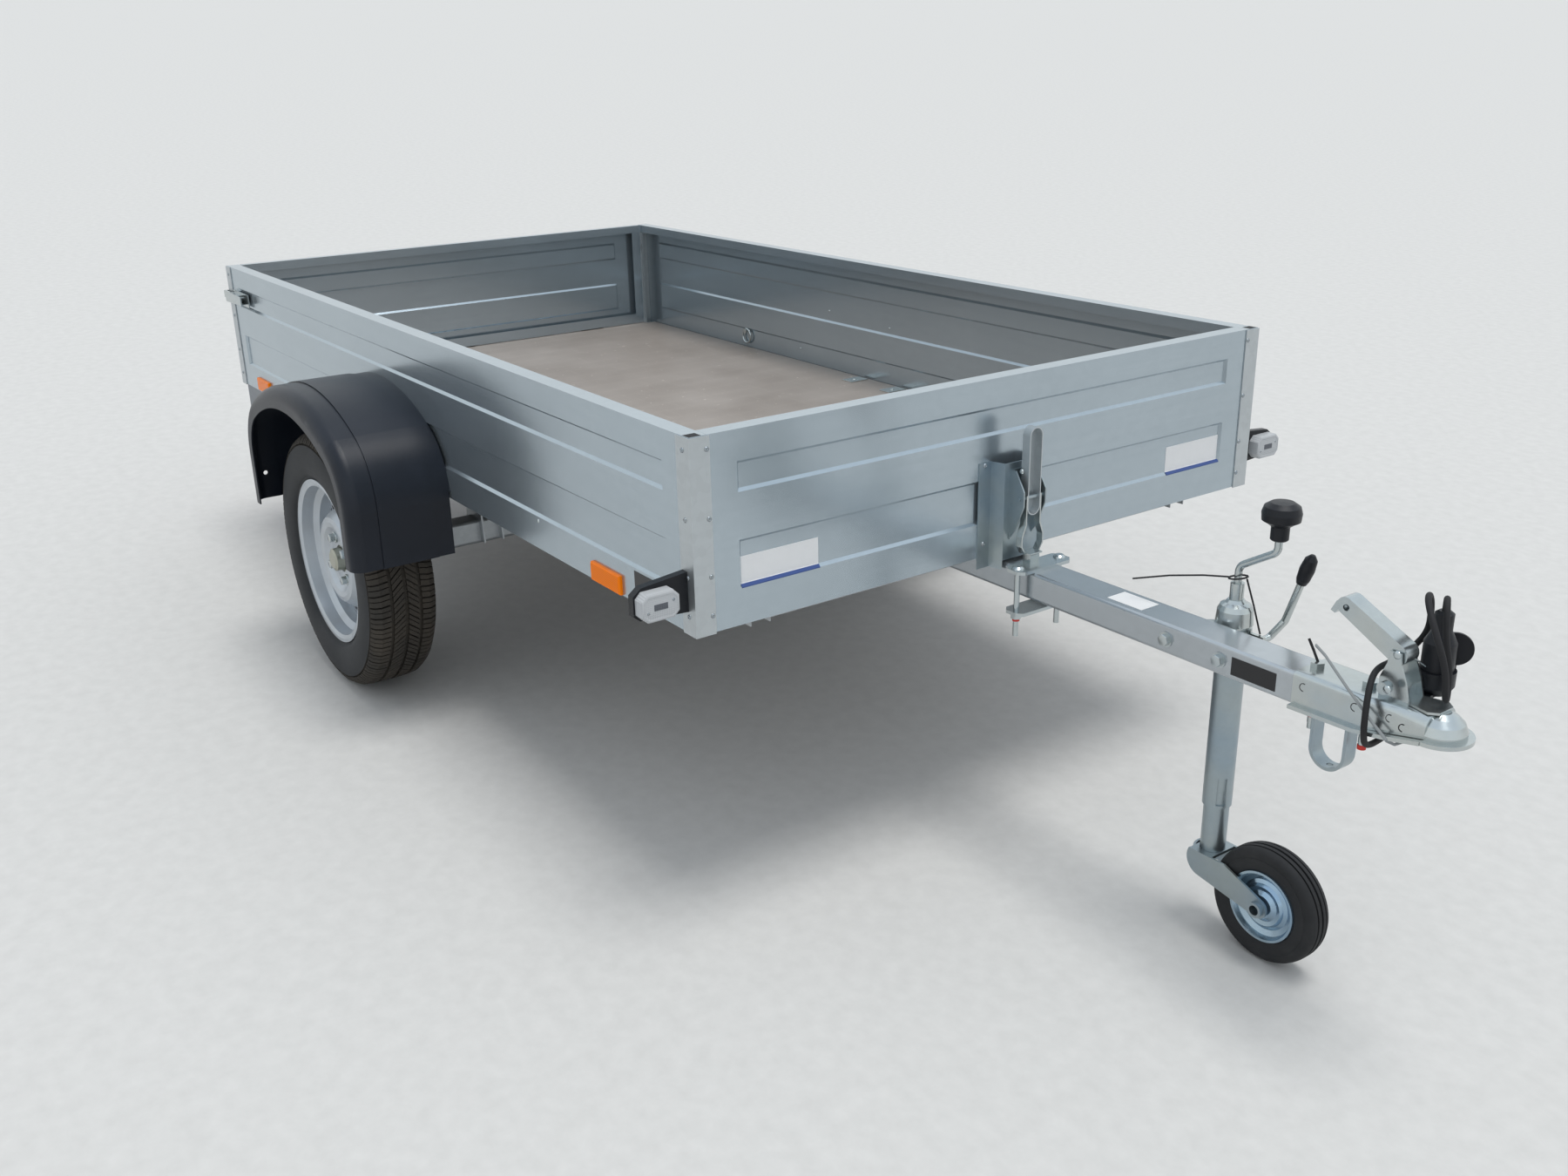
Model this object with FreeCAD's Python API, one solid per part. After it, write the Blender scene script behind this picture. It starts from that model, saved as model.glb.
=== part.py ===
import FreeCAD, Part
import math
import os
from FreeCAD import Vector as V

# Single-axle tipping utility trailer, standing on its road wheels and its jockey wheel.
# Everything is drawn in the trailer's own level frame, in millimetres:
# x forward, y to the left, z up, with the origin in the middle of the wheel axis.
# At the end the whole trailer is pitched nose up, as it stands on its jockey wheel.

# Tub: the sheet-metal box, its outer sizes and where it sits over the wheels
TUB_LENGTH = 2345.5
TUB_WIDTH = 1311.0
WALL_HEIGHT = 316.5
FRONT = 1260.5
TUB_BOTTOM = 189.0
SHEET = 1.5
POST_T = 2.0
POST_W = 37.0
END_BAND = 28.0
RIM_FOLD = 32.0
LIP = 22.0
BOARD = 9.0
SWAGE_DEEP = 5.0
SWAGE_END = 82.0
REAR = FRONT - TUB_LENGTH
HALF = TUB_WIDTH / 2
TOP = TUB_BOTTOM + WALL_HEIGHT
WALL_OUT = HALF - POST_T
WALL_IN = WALL_OUT - SHEET
FLOOR_UNDER = TUB_BOTTOM + SHEET
FLOOR_TOP = FLOOR_UNDER + BOARD
# pressed bands of every wall: lower edge and upper edge
SWAGES = [(TUB_BOTTOM + 62, TUB_BOTTOM + 141), (TOP - 99, TOP - 50)]

# Floor frame
RAIL_Y = HALF - 150.5
RAIL_W = 40.0
RAIL_H = 30.0
RAIL_END = 45.0
MEMBER_W = 50.0
MEMBER_H = 28.0
FRAME_T = 2.0
REAR_MEMBER_X = REAR + 0.2238 * TUB_LENGTH
# cross members ahead of the hinge, which leave the drawbar free
FRONT_MEMBERS_X = [FRONT - share * TUB_LENGTH for share in (0.371, 0.196, 0.034)]

# Drawbar and the tip hinge in its tail
BAR_W = 70.0
BAR_H = 50.0
BAR_TOP = TUB_BOTTOM - 7.7
BAR_T = 3.0
BAR_REAR = -45.0
BAR_LOW = BAR_TOP - BAR_H
TIP_X = 0.0
TIP_Z = BAR_TOP - BAR_H / 2
TIP_R = 10.0
TIP_HEAD_R = 15.0
HINGE_MEMBER_X = TIP_X - 85.0
CHEEK_T = 5.0
CHEEK_IN = BAR_W / 2 + 3.0
CHEEK_ROOT_R = 22.0
CHEEK_TAIL_R = 18.0
PLAY = 0.05
SEAT = 0.3

# Rubber-sprung axle
BEAM_X = 136.0
BEAM_Z = 50.0
BEAM_S = 54.0
BEAM_T = 5.0
ARM_T = 26.0
ARM_GAP = 16.0
STUB_R = 17.0
BEAM_END = WALL_OUT - ARM_GAP
BEAM_CORNER = 8.0
ARM_ROOT_R = 40.0
ARM_TIP_R = 30.0
BUFFER_R = 18.0
BUFFER_H = 12.0
BUFFER_TOP = FLOOR_UNDER - RAIL_H - SEAT
STAND_IN = RAIL_Y - 24.0
STAND_OUT = RAIL_Y + 24.0
STAND_T = 4.0
STAND_FOOT = 45.0
STAND_HEAD = 30.0
SADDLE_T = 6.0
SADDLE_TOP = 80.0
SADDLE_LOW = 45.0
SADDLE_LIP = 5.0
SADDLE_W = 45.0

# Road wheels
TYRE_R = 283.5
TYRE_W = 155.0
TYRE_GAP = 24.0
TRACK = WALL_OUT + TYRE_GAP + TYRE_W / 2
RIM_R = 182.0
RIM_HALF = 66.0
RIM_T = 3.0
WELL_R = RIM_R - 32.0
DISC_T = 3.5
BORE_R = 30.0
VENTS = 16
VENT_R = WELL_R * 0.887
VENT_L = 12.0
VENT_W = 22.0
VENT_CORNER = 5.5

# Mudguards
GUARD_W = 217.0
GUARD_T = 3.0
GUARD_LOW = 72.0
GUARD_FLANGE = 46.0
GUARD_BAND = 2.5
GUARD_BAND_IN = 38.0
GUARD_BAND_OUT = 62.0
GUARD_CORNER = 28.0
# side view: shoulder arcs of this radius, their centres ahead of and behind the wheel,
# and a crown arc whose centre lies below the shoulders' centres
SHOULDER_R = 155.0
SHOULDER_X = 170.0
SHOULDER_Z = GUARD_LOW + 118.0
CROWN_DIP = 314.5
CROWN_R = SHOULDER_R + math.hypot(SHOULDER_X, CROWN_DIP)
GUARD_END = SHOULDER_X + SHOULDER_R
GUARD_HOLE_R = 5.0
GUARD_HOLE_IN = 34.0
GUARD_HOLE_Z = GUARD_LOW + 60.0

# Tailgate
GATE_T = 22.0
GATE_GAP = 5.0
GATE_HALF = WALL_OUT - RIM_FOLD - GATE_GAP
GATE_LOW = FLOOR_TOP + 3.0
HINGE_X = REAR - 7.0
HINGE_Z = TUB_BOTTOM + 2.0
HINGE_PIN_R = 4.0
HINGE_R = 7.0
HINGES_Y = [-0.67 * HALF, 0.0, 0.67 * HALF]
LEAF_HALF = 40.0
LEAF_T = 3.0
LEAF_TOP = HINGE_Z + 50.0
BARREL_L = 22.0
KNUCKLE_HALF = 17.0

# Side latches, lashing rings and reflectors
LATCH_LOW = TOP - 92.0
LATCH_HIGH = TOP - 58.0
LATCH_L = 170.0
LATCH_OUT = 19.0
LATCH_BACK = 45.0
LATCH_CHEEK = 60.0
LATCH_CHEEK_L = 75.0
HOOK_ROOT = 64.0
HOOK_REACH = 14.0
RINGS_X = [REAR + 0.242 * TUB_LENGTH, FRONT - 0.239 * TUB_LENGTH]
RING_Z = FLOOR_TOP + 33.0
RING_R = 20.0
RING_BAR = 2.8
STAPLE_R = 3.0
STAPLE_OUT = 13.0
WASHER_R = 7.0
REFLECTOR_H = 34.0
REFLECTOR_T = 7.0
# rear edge, front edge and lower edge of each reflector
REFLECTORS = [
    (FRONT - 330.5, FRONT - 231.5, TUB_BOTTOM + 1.0),
    (REAR + 159.0, REAR + 255.0, TUB_BOTTOM + 5.0),
]

# Lamps
CARRIER_LOW = 42.0
CARRIER_TOP = TUB_BOTTOM - 2.0
CARRIER_Y = WALL_OUT - 12.0
CARRIER_T = 2.0
CARRIER_L = 205.0
CARRIER_BACK = 38.0
CARRIER_FLANGE = 16.0
REAR_LAMP_W = 208.0
REAR_LAMP_OUT = CARRIER_Y - 25.5
REAR_LAMP_LOW = CARRIER_LOW + 16.0
REAR_LAMP_H = 100.0
REAR_LAMP_CORNER = 9.0
LAMP_Y = HALF + 17.0
LAMP_W = 86.0
LAMP_Z = TUB_BOTTOM + 33.0
LAMP_H = 64.0
LAMP_BACK = FRONT - 29.0
LAMP_FACE = FRONT + 3.0
LAMP_CORNER = 13.0
BRACKET_L = 34.0

# Jockey wheel on the drawbar's left side
TUBE_R = 24.0
TUBE_T = 3.0
JOCKEY_X = 1697.0
JOCKEY_Y = BAR_W / 2 + 40.0
LEG_R = TUBE_R - TUBE_T - PLAY
TUBE_TOP = BAR_TOP - 13.3
TUBE_END = -152.0
LEG_END = -236.0
JW_X = JOCKEY_X + 121.0
JW_Z = -283.0
JW_R = 100.0
JW_W = 50.0
JW_AXLE_R = 10.0
AXLE_END_R = 13.0
AXLE_END_BORE = 8.5
AXLE_END_L = 9.0
FORK_T = 4.0
FORK_IN = JW_W / 2 + 4.0
FORK_ROOT_R = 30.0
FORK_TIP_R = 17.0
CLAMP_LOW = BAR_LOW - 6.0
CLAMP_TOP = TUBE_TOP - 5.0
CLAMP_T = 5.0
CRANK_R = 6.0
KNOB_X = JOCKEY_X + 67.0
LEVER_ROOT = (JOCKEY_X + 41.0, JOCKEY_Y + 13.0, BAR_TOP - 33.0)
# the lever's root, its bends and the end inside the grip, measured from the root
LEVER_RUN = [(0.0, 0.0, 0.0), (0.0, 24.0, 0.0), (16.0, 38.0, 30.0), (36.0, 40.0, 98.0)]

# Coupling, park strap and plug at the drawbar's front end
COUPLING_REAR = JOCKEY_X + 195.0
COUPLING_T = 4.0
BALL_X = COUPLING_REAR + 206.0
BAR_FRONT = COUPLING_REAR + 113.0
BALL_Z = 150.0
BALL_R = 25.5
FLANGE_W = 8.0
FLANGE_T = 6.0
BOLT_R = 6.0
COUPLING_BOLTS = [COUPLING_REAR + 11, COUPLING_REAR + 96]
BODY_HALF = BAR_W / 2 + 0.5 + COUPLING_T
ROOF_Z = BAR_TOP + 0.5 + COUPLING_T
# places along the coupling: end of the straight trough, start of the throat
TROUGH_END = BALL_X - 100.0
THROAT_X = BALL_X - 46.0
THROAT_Z = BALL_Z - 10.0
SHANK_LOW = BAR_LOW - 34.0
NUT_H = 12.0
HEAD_H = 8.0
BOLT_ACROSS = 19.0
RIDER_X = BALL_X - 67.0
RIDER_Z = BAR_TOP + 69.7
RIDER_R = 5.0
HANDLE_TIP = (BALL_X - 154.0, BAR_TOP + 114.7)
HANDLE_T = 3.0
HANDLE_HALF = 14.0
CHEEK_HALF = 19.0
STRAP_REAR = COUPLING_REAR + 20.0
STRAP_FRONT = COUPLING_REAR + 80.0
STRAP_LOW = 38.0
STRAP_T = 5.0
STRAP_HALF = 13.0
PLUG_X = BALL_X - 42.0
PLUG_Y = 46.0
PLUG_R = 22.0
CABLE_R = 4.5

# Stance: both wheel sizes rest on the same floor
REACH = math.hypot(JW_X, JW_Z)
DROP = math.atan2(-JW_Z, JW_X)
NOSE_UP = math.degrees(DROP + math.asin((JW_R - TYRE_R) / REACH))
# from the middle of the overall length back to the wheel axis
AXLE_BACK = 505.4


def box(x0, x1, y0, y1, z0, z1):
    return Part.makeBox(x1 - x0, y1 - y0, z1 - z0, V(x0, y0, z0))


def rod(a, b, r):
    start = V(*a)
    run = V(*b) - start
    return Part.makeCylinder(r, run.Length, start, run)


def tube(a, b, r_out, r_in):
    return rod(a, b, r_out).cut(rod(a, b, r_in))


def path(points, radii):
    """Wire of straight runs; each inner point is rounded by its radius."""
    edges = []
    last = points[0]
    for i in range(1, len(points) - 1):
        p = points[i]
        back = (points[i - 1] - p).normalize()
        ahead = (points[i + 1] - p).normalize()
        half = back.getAngle(ahead) / 2
        r = radii[i - 1]
        cut = r / math.tan(half)
        a = p + back * cut
        b = p + ahead * cut
        mid = p + (back + ahead).normalize() * (r / math.sin(half) - r)
        if (a - last).Length > 1e-6:
            edges.append(Part.makeLine(last, a))
        edges.append(Part.Arc(a, mid, b).toShape())
        last = b
    edges.append(Part.makeLine(last, points[-1]))
    return Part.Wire(edges)


def bent_rod(points, radii, r):
    """Round bar along a path of straight runs and arcs."""
    pts = [V(*p) for p in points]
    spine = path(pts, radii)
    start = Part.Wire(Part.makeCircle(r, pts[0], pts[1] - pts[0]))
    return spine.makePipeShell([start], True, False)


def outline(points, radius=0.0):
    """Closed flat wire; every corner is rounded if a radius is given."""
    if radius == 0:
        return Part.makePolygon(points + points[:1])
    edges = []
    n = len(points)
    ends = []
    for i in range(n):
        p = points[i]
        back = (points[i - 1] - p).normalize()
        ahead = (points[(i + 1) % n] - p).normalize()
        half = back.getAngle(ahead) / 2
        cut = radius / math.tan(half)
        mid = p + (back + ahead).normalize() * (radius / math.sin(half) - radius)
        ends.append((p + back * cut, mid, p + ahead * cut))
    for i in range(n):
        a, mid, b = ends[i]
        edges.append(Part.Arc(a, mid, b).toShape())
        edges.append(Part.makeLine(b, ends[(i + 1) % n][0]))
    return Part.Wire(edges)


def side_piece(points, y0, y1, radius=0.0):
    """Piece with its outline in the side view, (x, z) points, from y0 to y1."""
    wire = outline([V(x, y0, z) for x, z in points], radius)
    return Part.Face(wire).extrude(V(0, y1 - y0, 0))


def front_piece(points, x0, x1, radius=0.0):
    """Piece with its outline in the front view, (y, z) points, from x0 to x1."""
    wire = outline([V(x0, y, z) for y, z in points], radius)
    return Part.Face(wire).extrude(V(x1 - x0, 0, 0))


def top_piece(points, z0, z1, radius=0.0):
    """Piece with its outline in the top view, (x, y) points, from z0 to z1."""
    wire = outline([V(x, y, z0) for x, y in points], radius)
    return Part.Face(wire).extrude(V(0, 0, z1 - z0))


def turned(points, centre, axis):
    """Revolved piece; points are (distance along the axis, radius)."""
    wire = Part.makePolygon([V(r, 0, s) for s, r in points + points[:1]])
    solid = Part.Face(wire).revolve(V(0, 0, 0), V(0, 0, 1), 360)
    solid.Placement = FreeCAD.Placement(V(*centre), FreeCAD.Rotation(V(0, 0, 1), V(*axis)))
    return solid


def link(a, b, ra, rb, y0, y1):
    """Flat link in the side view, with a round end of its own size at a and at b."""
    ax, az = a
    bx, bz = b
    base = math.atan2(bz - az, bx - ax)
    off = math.acos((ra - rb) / math.hypot(bx - ax, bz - az))
    corners = []
    for cx, cz, r, side in ((ax, az, ra, 1), (bx, bz, rb, 1), (bx, bz, rb, -1), (ax, az, ra, -1)):
        turn = base + side * off
        corners.append((cx + r * math.cos(turn), cz + r * math.sin(turn)))
    ends = [rod((ax, y0, az), (ax, y1, az), ra), rod((bx, y0, bz), (bx, y1, bz), rb)]
    return side_piece(corners, y0, y1).fuse(ends).removeSplitter()


def mirror(shape):
    return shape.mirror(V(0, 0, 0), V(0, 1, 0))


def both(shape):
    return Part.makeCompound([shape, mirror(shape)])


def one(shapes):
    return shapes[0].fuse(shapes[1:]).removeSplitter()


# Pressed walls

def field(length, z0, z1, depth, grow):
    """Raised band on the plane y=0, rising to y=depth with sloping edges."""
    wires = []
    for y, inset in ((0, -grow), (depth, depth - grow)):
        a, b = inset, length - inset
        c, d = z0 + inset, z1 - inset
        corners = [(a, c), (b, c), (b, d), (a, d)]
        wires.append(Part.makePolygon([V(x, y, z) for x, z in corners + corners[:1]]))
    return Part.makeLoft(wires, True, True)


def panel(length, low, fold, lip, bottom_fold):
    """Wall sheet along +x: outer face on y=0, folds towards +y, swages pressed inwards."""
    t = SHEET
    outside = [(0, low), (0, TOP), (fold, TOP), (fold, TOP - lip)]
    inside = [(fold - t, TOP - lip), (fold - t, TOP - t), (t, TOP - t), (t, low + t)]
    profile = outside + inside + [(bottom_fold, low + t), (bottom_fold, low)]
    sheet = front_piece(profile, 0, length)
    run = length - 2 * SWAGE_END
    for z0, z1 in SWAGES:
        bulge = field(run, z0, z1, SWAGE_DEEP, SHEET * 0.4)
        bulge.translate(V(SWAGE_END, SHEET, 0))
        dent = field(run, z0, z1, SWAGE_DEEP, 0)
        dent.translate(V(SWAGE_END, 0, 0))
        sheet = sheet.fuse(bulge).cut(dent)
    return sheet.removeSplitter()


def side_walls():
    """Side walls; their folds end just behind the front wall's sheet."""
    wall = panel(FRONT - REAR - 2 * POST_T, TUB_BOTTOM, RIM_FOLD, LIP, RIM_FOLD - 2)
    wall.translate(V(REAR + POST_T, -WALL_OUT, 0))
    stop = FRONT - POST_T - SHEET - SEAT
    return both(wall.cut(box(stop, FRONT, -WALL_IN, 0, TUB_BOTTOM - 1, TOP + 1)))


def front_wall():
    half = WALL_IN - 0.2
    wall = panel(2 * half, TUB_BOTTOM, RIM_FOLD, LIP, RIM_FOLD - 2)
    wall.rotate(V(0, 0, 0), V(0, 0, 1), 90)
    wall.translate(V(FRONT - POST_T, -half, 0))
    free = WALL_OUT - RIM_FOLD - SEAT
    back = FRONT - POST_T - RIM_FOLD - 1
    sheet_in = FRONT - POST_T - SHEET
    for y0, y1 in ((-HALF, -free), (free, HALF)):
        wall = wall.cut(box(back, sheet_in, y0, y1, TOP - LIP - 1, TOP + 1))
        wall = wall.cut(box(back, sheet_in, y0, y1, TUB_BOTTOM - 1, FLOOR_UNDER + 1))
    return wall


def corner_posts():
    """Angles over the front corners; the rear ones also turn in beside the tailgate."""
    low = TUB_BOTTOM - 2
    high = TOP - 1
    t = POST_T
    w = POST_W
    outside = [(FRONT, HALF - w), (FRONT, HALF), (FRONT - w, HALF)]
    inside = [(FRONT - w, HALF - t), (FRONT - t, HALF - t), (FRONT - t, HALF - w)]
    front = top_piece(outside + inside, low, high)
    inner = WALL_OUT - RIM_FOLD
    outside = [(REAR, inner), (REAR, HALF), (REAR + w, HALF)]
    inside = [(REAR + w, HALF - t), (REAR + t, HALF - t), (REAR + t, inner)]
    band = box(REAR, REAR + END_BAND, inner, inner + t, FLOOR_TOP + SEAT, TOP - LIP - SEAT)
    rear = one([top_piece(outside + inside, low, high), band])
    return Part.makeCompound([front, mirror(front), rear, mirror(rear)])


# Floor

def floor_board():
    """Board between the walls, notched round the rear posts."""
    side = WALL_IN - 2
    x0 = REAR + 2 * POST_T
    x1 = FRONT - POST_T - SHEET - SEAT
    notch_x = REAR + END_BAND + 2
    notch_y = WALL_OUT - RIM_FOLD - 2
    corners = [(x0, notch_y), (notch_x, notch_y), (notch_x, side), (x1, side)]
    return top_piece(corners + [(x, -y) for x, y in reversed(corners)], FLOOR_UNDER, FLOOR_TOP)


def channel(across, w, h):
    """Channel open below, as (across, z) points hanging under the floor board."""
    z = FLOOR_UNDER
    t = FRAME_T
    a = across - w / 2
    b = across + w / 2
    inside = [(b - t, z - h), (b - t, z - t), (a + t, z - t), (a + t, z - h)]
    return [(a, z), (b, z), (b, z - h)] + inside + [(a, z - h)]


def floor_frame():
    """Two rails joined by cross members, with a sill across the tail."""
    rail = front_piece(channel(RAIL_Y, RAIL_W, RAIL_H), REAR + POST_T + MEMBER_W, FRONT - RAIL_END)
    pieces = [rail, mirror(rail)]
    reach = RAIL_Y - RAIL_W / 2
    for x in (REAR_MEMBER_X, HINGE_MEMBER_X):
        pieces.append(side_piece(channel(x, MEMBER_W, MEMBER_H), -reach, reach))
    for x in FRONT_MEMBERS_X:
        half = side_piece(channel(x, MEMBER_W, MEMBER_H), BAR_W / 2 + 25, reach)
        pieces += [half, mirror(half)]
    sill = channel(REAR + POST_T + MEMBER_W / 2, MEMBER_W, MEMBER_H)
    side = WALL_OUT - RIM_FOLD
    return one(pieces + [side_piece(sill, -side, side)])


def tip_cheeks():
    """Cheeks beside the drawbar's tail, welded under a cross member, with the hinge bores."""
    y0 = CHEEK_IN
    y1 = y0 + CHEEK_T
    tail_x = HINGE_MEMBER_X - MEMBER_W / 2
    under = FLOOR_UNDER - MEMBER_H
    cheek = link((TIP_X, TIP_Z), (tail_x, TIP_Z + 4), CHEEK_ROOT_R, CHEEK_TAIL_R, y0, y1)
    member = box(tail_x, tail_x + MEMBER_W, y0 - 1, y1 + 1, under, FLOOR_UNDER)
    over = box(tail_x - 50, TIP_X + 100, y0 - 1, y1 + 1, FLOOR_UNDER, TOP)
    bore = rod((TIP_X, y0 - 1, TIP_Z), (TIP_X, y1 + 1, TIP_Z), TIP_R + PLAY)
    return both(cheek.cut([member, over, bore]))


# Drawbar and axle

def drawbar():
    """Box section with rounded edges, drilled for the tip pin, the coupling's bolts and the cable."""
    def bar(x0, x1, inset, radius):
        side = BAR_W / 2 - inset
        block = box(x0, x1, -side, side, BAR_LOW + inset, BAR_TOP - inset)
        long_edges = [e for e in block.Edges if e.BoundBox.XLength > 100]
        return block.makeFillet(radius, long_edges)
    hollow = bar(BAR_REAR - 1, BAR_FRONT + 1, BAR_T, BAR_T)
    pin_hole = rod((TIP_X, -BAR_W, TIP_Z), (TIP_X, BAR_W, TIP_Z), TIP_R)
    bolt_holes = [rod((x, 0, 0), (x, 0, TOP), BOLT_R) for x in COUPLING_BOLTS]
    exit_hole = rod(cable_points()[0], cable_points()[1], CABLE_R + SEAT)
    return bar(BAR_REAR, BAR_FRONT, 0, 2 * BAR_T).cut([hollow, pin_hole, exit_hole] + bolt_holes)


def tip_pin():
    """Pin through the cheeks and the drawbar, with a head at each end."""
    end = CHEEK_IN + CHEEK_T
    shaft = rod((TIP_X, -end, TIP_Z), (TIP_X, end, TIP_Z), TIP_R)
    heads = []
    for s in (-1, 1):
        heads.append(rod((TIP_X, s * (end + 1), TIP_Z), (TIP_X, s * (end + 9), TIP_Z), TIP_HEAD_R))
        heads.append(rod((TIP_X, s * end, TIP_Z), (TIP_X, s * (end + 2), TIP_Z), TIP_R))
    return one([shaft] + heads)


def axle_beam():
    """Square tube across the trailer."""
    s = BEAM_S / 2
    y = BEAM_END
    bar = box(BEAM_X - s, BEAM_X + s, -y, y, BEAM_Z - s, BEAM_Z + s)
    bar = bar.makeFillet(BEAM_CORNER, [e for e in bar.Edges if e.BoundBox.YLength > 100])
    i = s - BEAM_T
    return bar.cut(box(BEAM_X - i, BEAM_X + i, -y - 1, y + 1, BEAM_Z - i, BEAM_Z + i))


def trapezium(x, low_half, low, high_half, high):
    """Side view of a tapering web, as (x, z) points."""
    return [(x - low_half, low), (x + low_half, low), (x + high_half, high), (x - high_half, high)]


def axle_saddle():
    """Welded seat that carries the drawbar on the beam."""
    z0 = BEAM_Z + BEAM_S / 2
    z1 = BAR_LOW
    t = SADDLE_T
    y = BAR_W / 2 - 10
    web = trapezium(BEAM_X, SADDLE_LOW, z0, SADDLE_TOP, z1)
    half = SADDLE_TOP + SADDLE_LIP
    upper = box(BEAM_X - half, BEAM_X + half, -SADDLE_W, SADDLE_W, z1 - t, z1)
    lower = box(BEAM_X - SADDLE_LOW, BEAM_X + SADDLE_LOW, -SADDLE_W, SADDLE_W, z0, z0 + t)
    return one([side_piece(web, -y - t, -y), side_piece(web, y, y + t), upper, lower])


def axle_stands():
    """Brackets on the beam under the tub's rails."""
    z1 = BUFFER_TOP - BUFFER_H
    s = BEAM_S / 2
    t = STAND_T
    leg = trapezium(BEAM_X, STAND_FOOT, BEAM_Z - s + 5, STAND_HEAD, z1)
    legs = [side_piece(leg, y, y + t) for y in (STAND_IN, STAND_OUT - t)]
    cap = box(BEAM_X - STAND_HEAD, BEAM_X + STAND_HEAD, STAND_IN, STAND_OUT, z1 - t, z1)
    beam = box(BEAM_X - s, BEAM_X + s, 0, HALF, BEAM_Z - s, BEAM_Z + s)
    return both(one(legs + [cap]).cut(beam))


def buffers():
    """Rubber buffers under the tub's rails."""
    z1 = BUFFER_TOP
    return both(rod((BEAM_X, RAIL_Y, z1 - BUFFER_H), (BEAM_X, RAIL_Y, z1), BUFFER_R))


def swing_arms():
    """Trailing arms at the beam's ends, each with its stub axle."""
    y1 = BEAM_END + ARM_T
    arm = link((BEAM_X, BEAM_Z), (0, 0), ARM_ROOT_R, ARM_TIP_R, BEAM_END, y1)
    stub = rod((0, y1, 0), (0, TRACK + 5, 0), STUB_R)
    return both(one([arm, stub]))


# Road wheels: profiles are (distance outboard of the tyre's middle, radius)

def tyre(side):
    w = TYRE_W / 2
    bead = RIM_HALF - 6.4
    r = TYRE_R
    widest = (RIM_R + TYRE_R) / 2 - 7.75
    half = [
        (bead, RIM_R - 12), (bead + 3, RIM_R - 5.5), (bead + 3, RIM_R + 1), (w - 4, RIM_R + 14),
        (w, widest), (w - 3, widest + 25), (w - 11.5, r - 11), (w - 25.5, r - 2.5), (w - 57.5, r),
    ]
    profile = half + [(-s, q) for s, q in reversed(half)]
    return turned(profile, (0, side * TRACK, 0), (0, side, 0))


def rim(side):
    """Pressed barrel with its well, and the domed disc with a ring of vents."""
    e = RIM_HALF
    t = RIM_T
    w = WELL_R
    centre = (0, side * TRACK, 0)
    axis = (0, side, 0)
    # the well lies nearer the outer face
    outer = [
        (e, RIM_R), (e, RIM_R - 7), (e - 4, RIM_R - 15), (38, w + 13), (28, w),
        (-12, w), (-26, w + 13), (-e + 4, RIM_R - 15), (-e, RIM_R - 7), (-e, RIM_R),
    ]
    inner = [
        (-e + t, RIM_R), (-e + t, RIM_R - 6), (-e + 6, RIM_R - 12.5), (-24.5, w + 16), (-10.5, w + t),
        (26.5, w + t), (36.5, w + 16), (e - 6, RIM_R - 12.5), (e - t, RIM_R - 6), (e - t, RIM_R),
    ]
    barrel = turned(outer + inner, centre, axis)
    # the disc's outer face: (distance outboard, share of the well's radius)
    shares = [(9, 0.813), (34, 0.693), (46, 0.627), (49, 0.56), (46, 0.487), (37, 0.42), (34, 0.373)]
    face = [(6, w + 0.5)] + [(s, w * share) for s, share in shares] + [(34, BORE_R)]
    disc = turned(face + [(s - DISC_T, q) for s, q in reversed(face)], centre, axis)
    slots = []
    for i in range(VENTS):
        r0 = VENT_R - VENT_L / 2
        slot = box(r0, r0 + VENT_L, TRACK - 20, TRACK + 40, -VENT_W / 2, VENT_W / 2)
        slot = slot.makeFillet(VENT_CORNER, [edge for edge in slot.Edges if edge.BoundBox.YLength > 50])
        slot.rotate(V(0, 0, 0), V(0, 1, 0), 360.0 / VENTS * (i + 0.5))
        slots.append(slot if side > 0 else mirror(slot))
    return barrel.fuse(disc.cut(slots)).removeSplitter()


def hub(side):
    """Drum behind the disc, with the flange it is bolted to and a grease cap in its bore."""
    drum = [(-83, 46), (-83, 0), (55, 0), (55, 18), (51, 25)]
    flange = [(30.5, 26), (30.5, 68), (20, 68), (20, 46)]
    solid = turned(drum + flange, (0, side * TRACK, 0), (0, side, 0))
    bore = rod((0, side * (TRACK - 90), 0), (0, side * (TRACK + 8), 0), STUB_R + PLAY)
    return solid.cut(bore)


# Mudguards

def arch(inset, low):
    """Side view of the mudguard moved inwards by inset: two legs, two shoulders and a flat top."""
    shoulder = SHOULDER_R - inset
    crown = CROWN_R - inset
    centre_z = SHOULDER_Z - CROWN_DIP
    turn = math.atan2(CROWN_DIP, SHOULDER_X)
    w = SHOULDER_X + shoulder
    a = V(w, 0, SHOULDER_Z)
    b = V(crown * math.cos(turn), 0, centre_z + crown * math.sin(turn))
    bend = V(math.cos(turn / 2), 0, math.sin(turn / 2)) * shoulder
    mid = V(SHOULDER_X, 0, SHOULDER_Z) + bend
    flip_a, flip_mid, flip_b = [V(-p.x, 0, p.z) for p in (a, mid, b)]
    edges = [
        Part.makeLine(V(w, 0, low), a),
        Part.Arc(a, mid, b).toShape(),
        Part.Arc(b, V(0, 0, centre_z + crown), flip_b).toShape(),
        Part.Arc(flip_b, flip_mid, flip_a).toShape(),
        Part.makeLine(flip_a, V(-w, 0, low)),
        Part.makeLine(V(-w, 0, low), V(w, 0, low)),
    ]
    return Part.Face(Part.Wire(edges))


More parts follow.
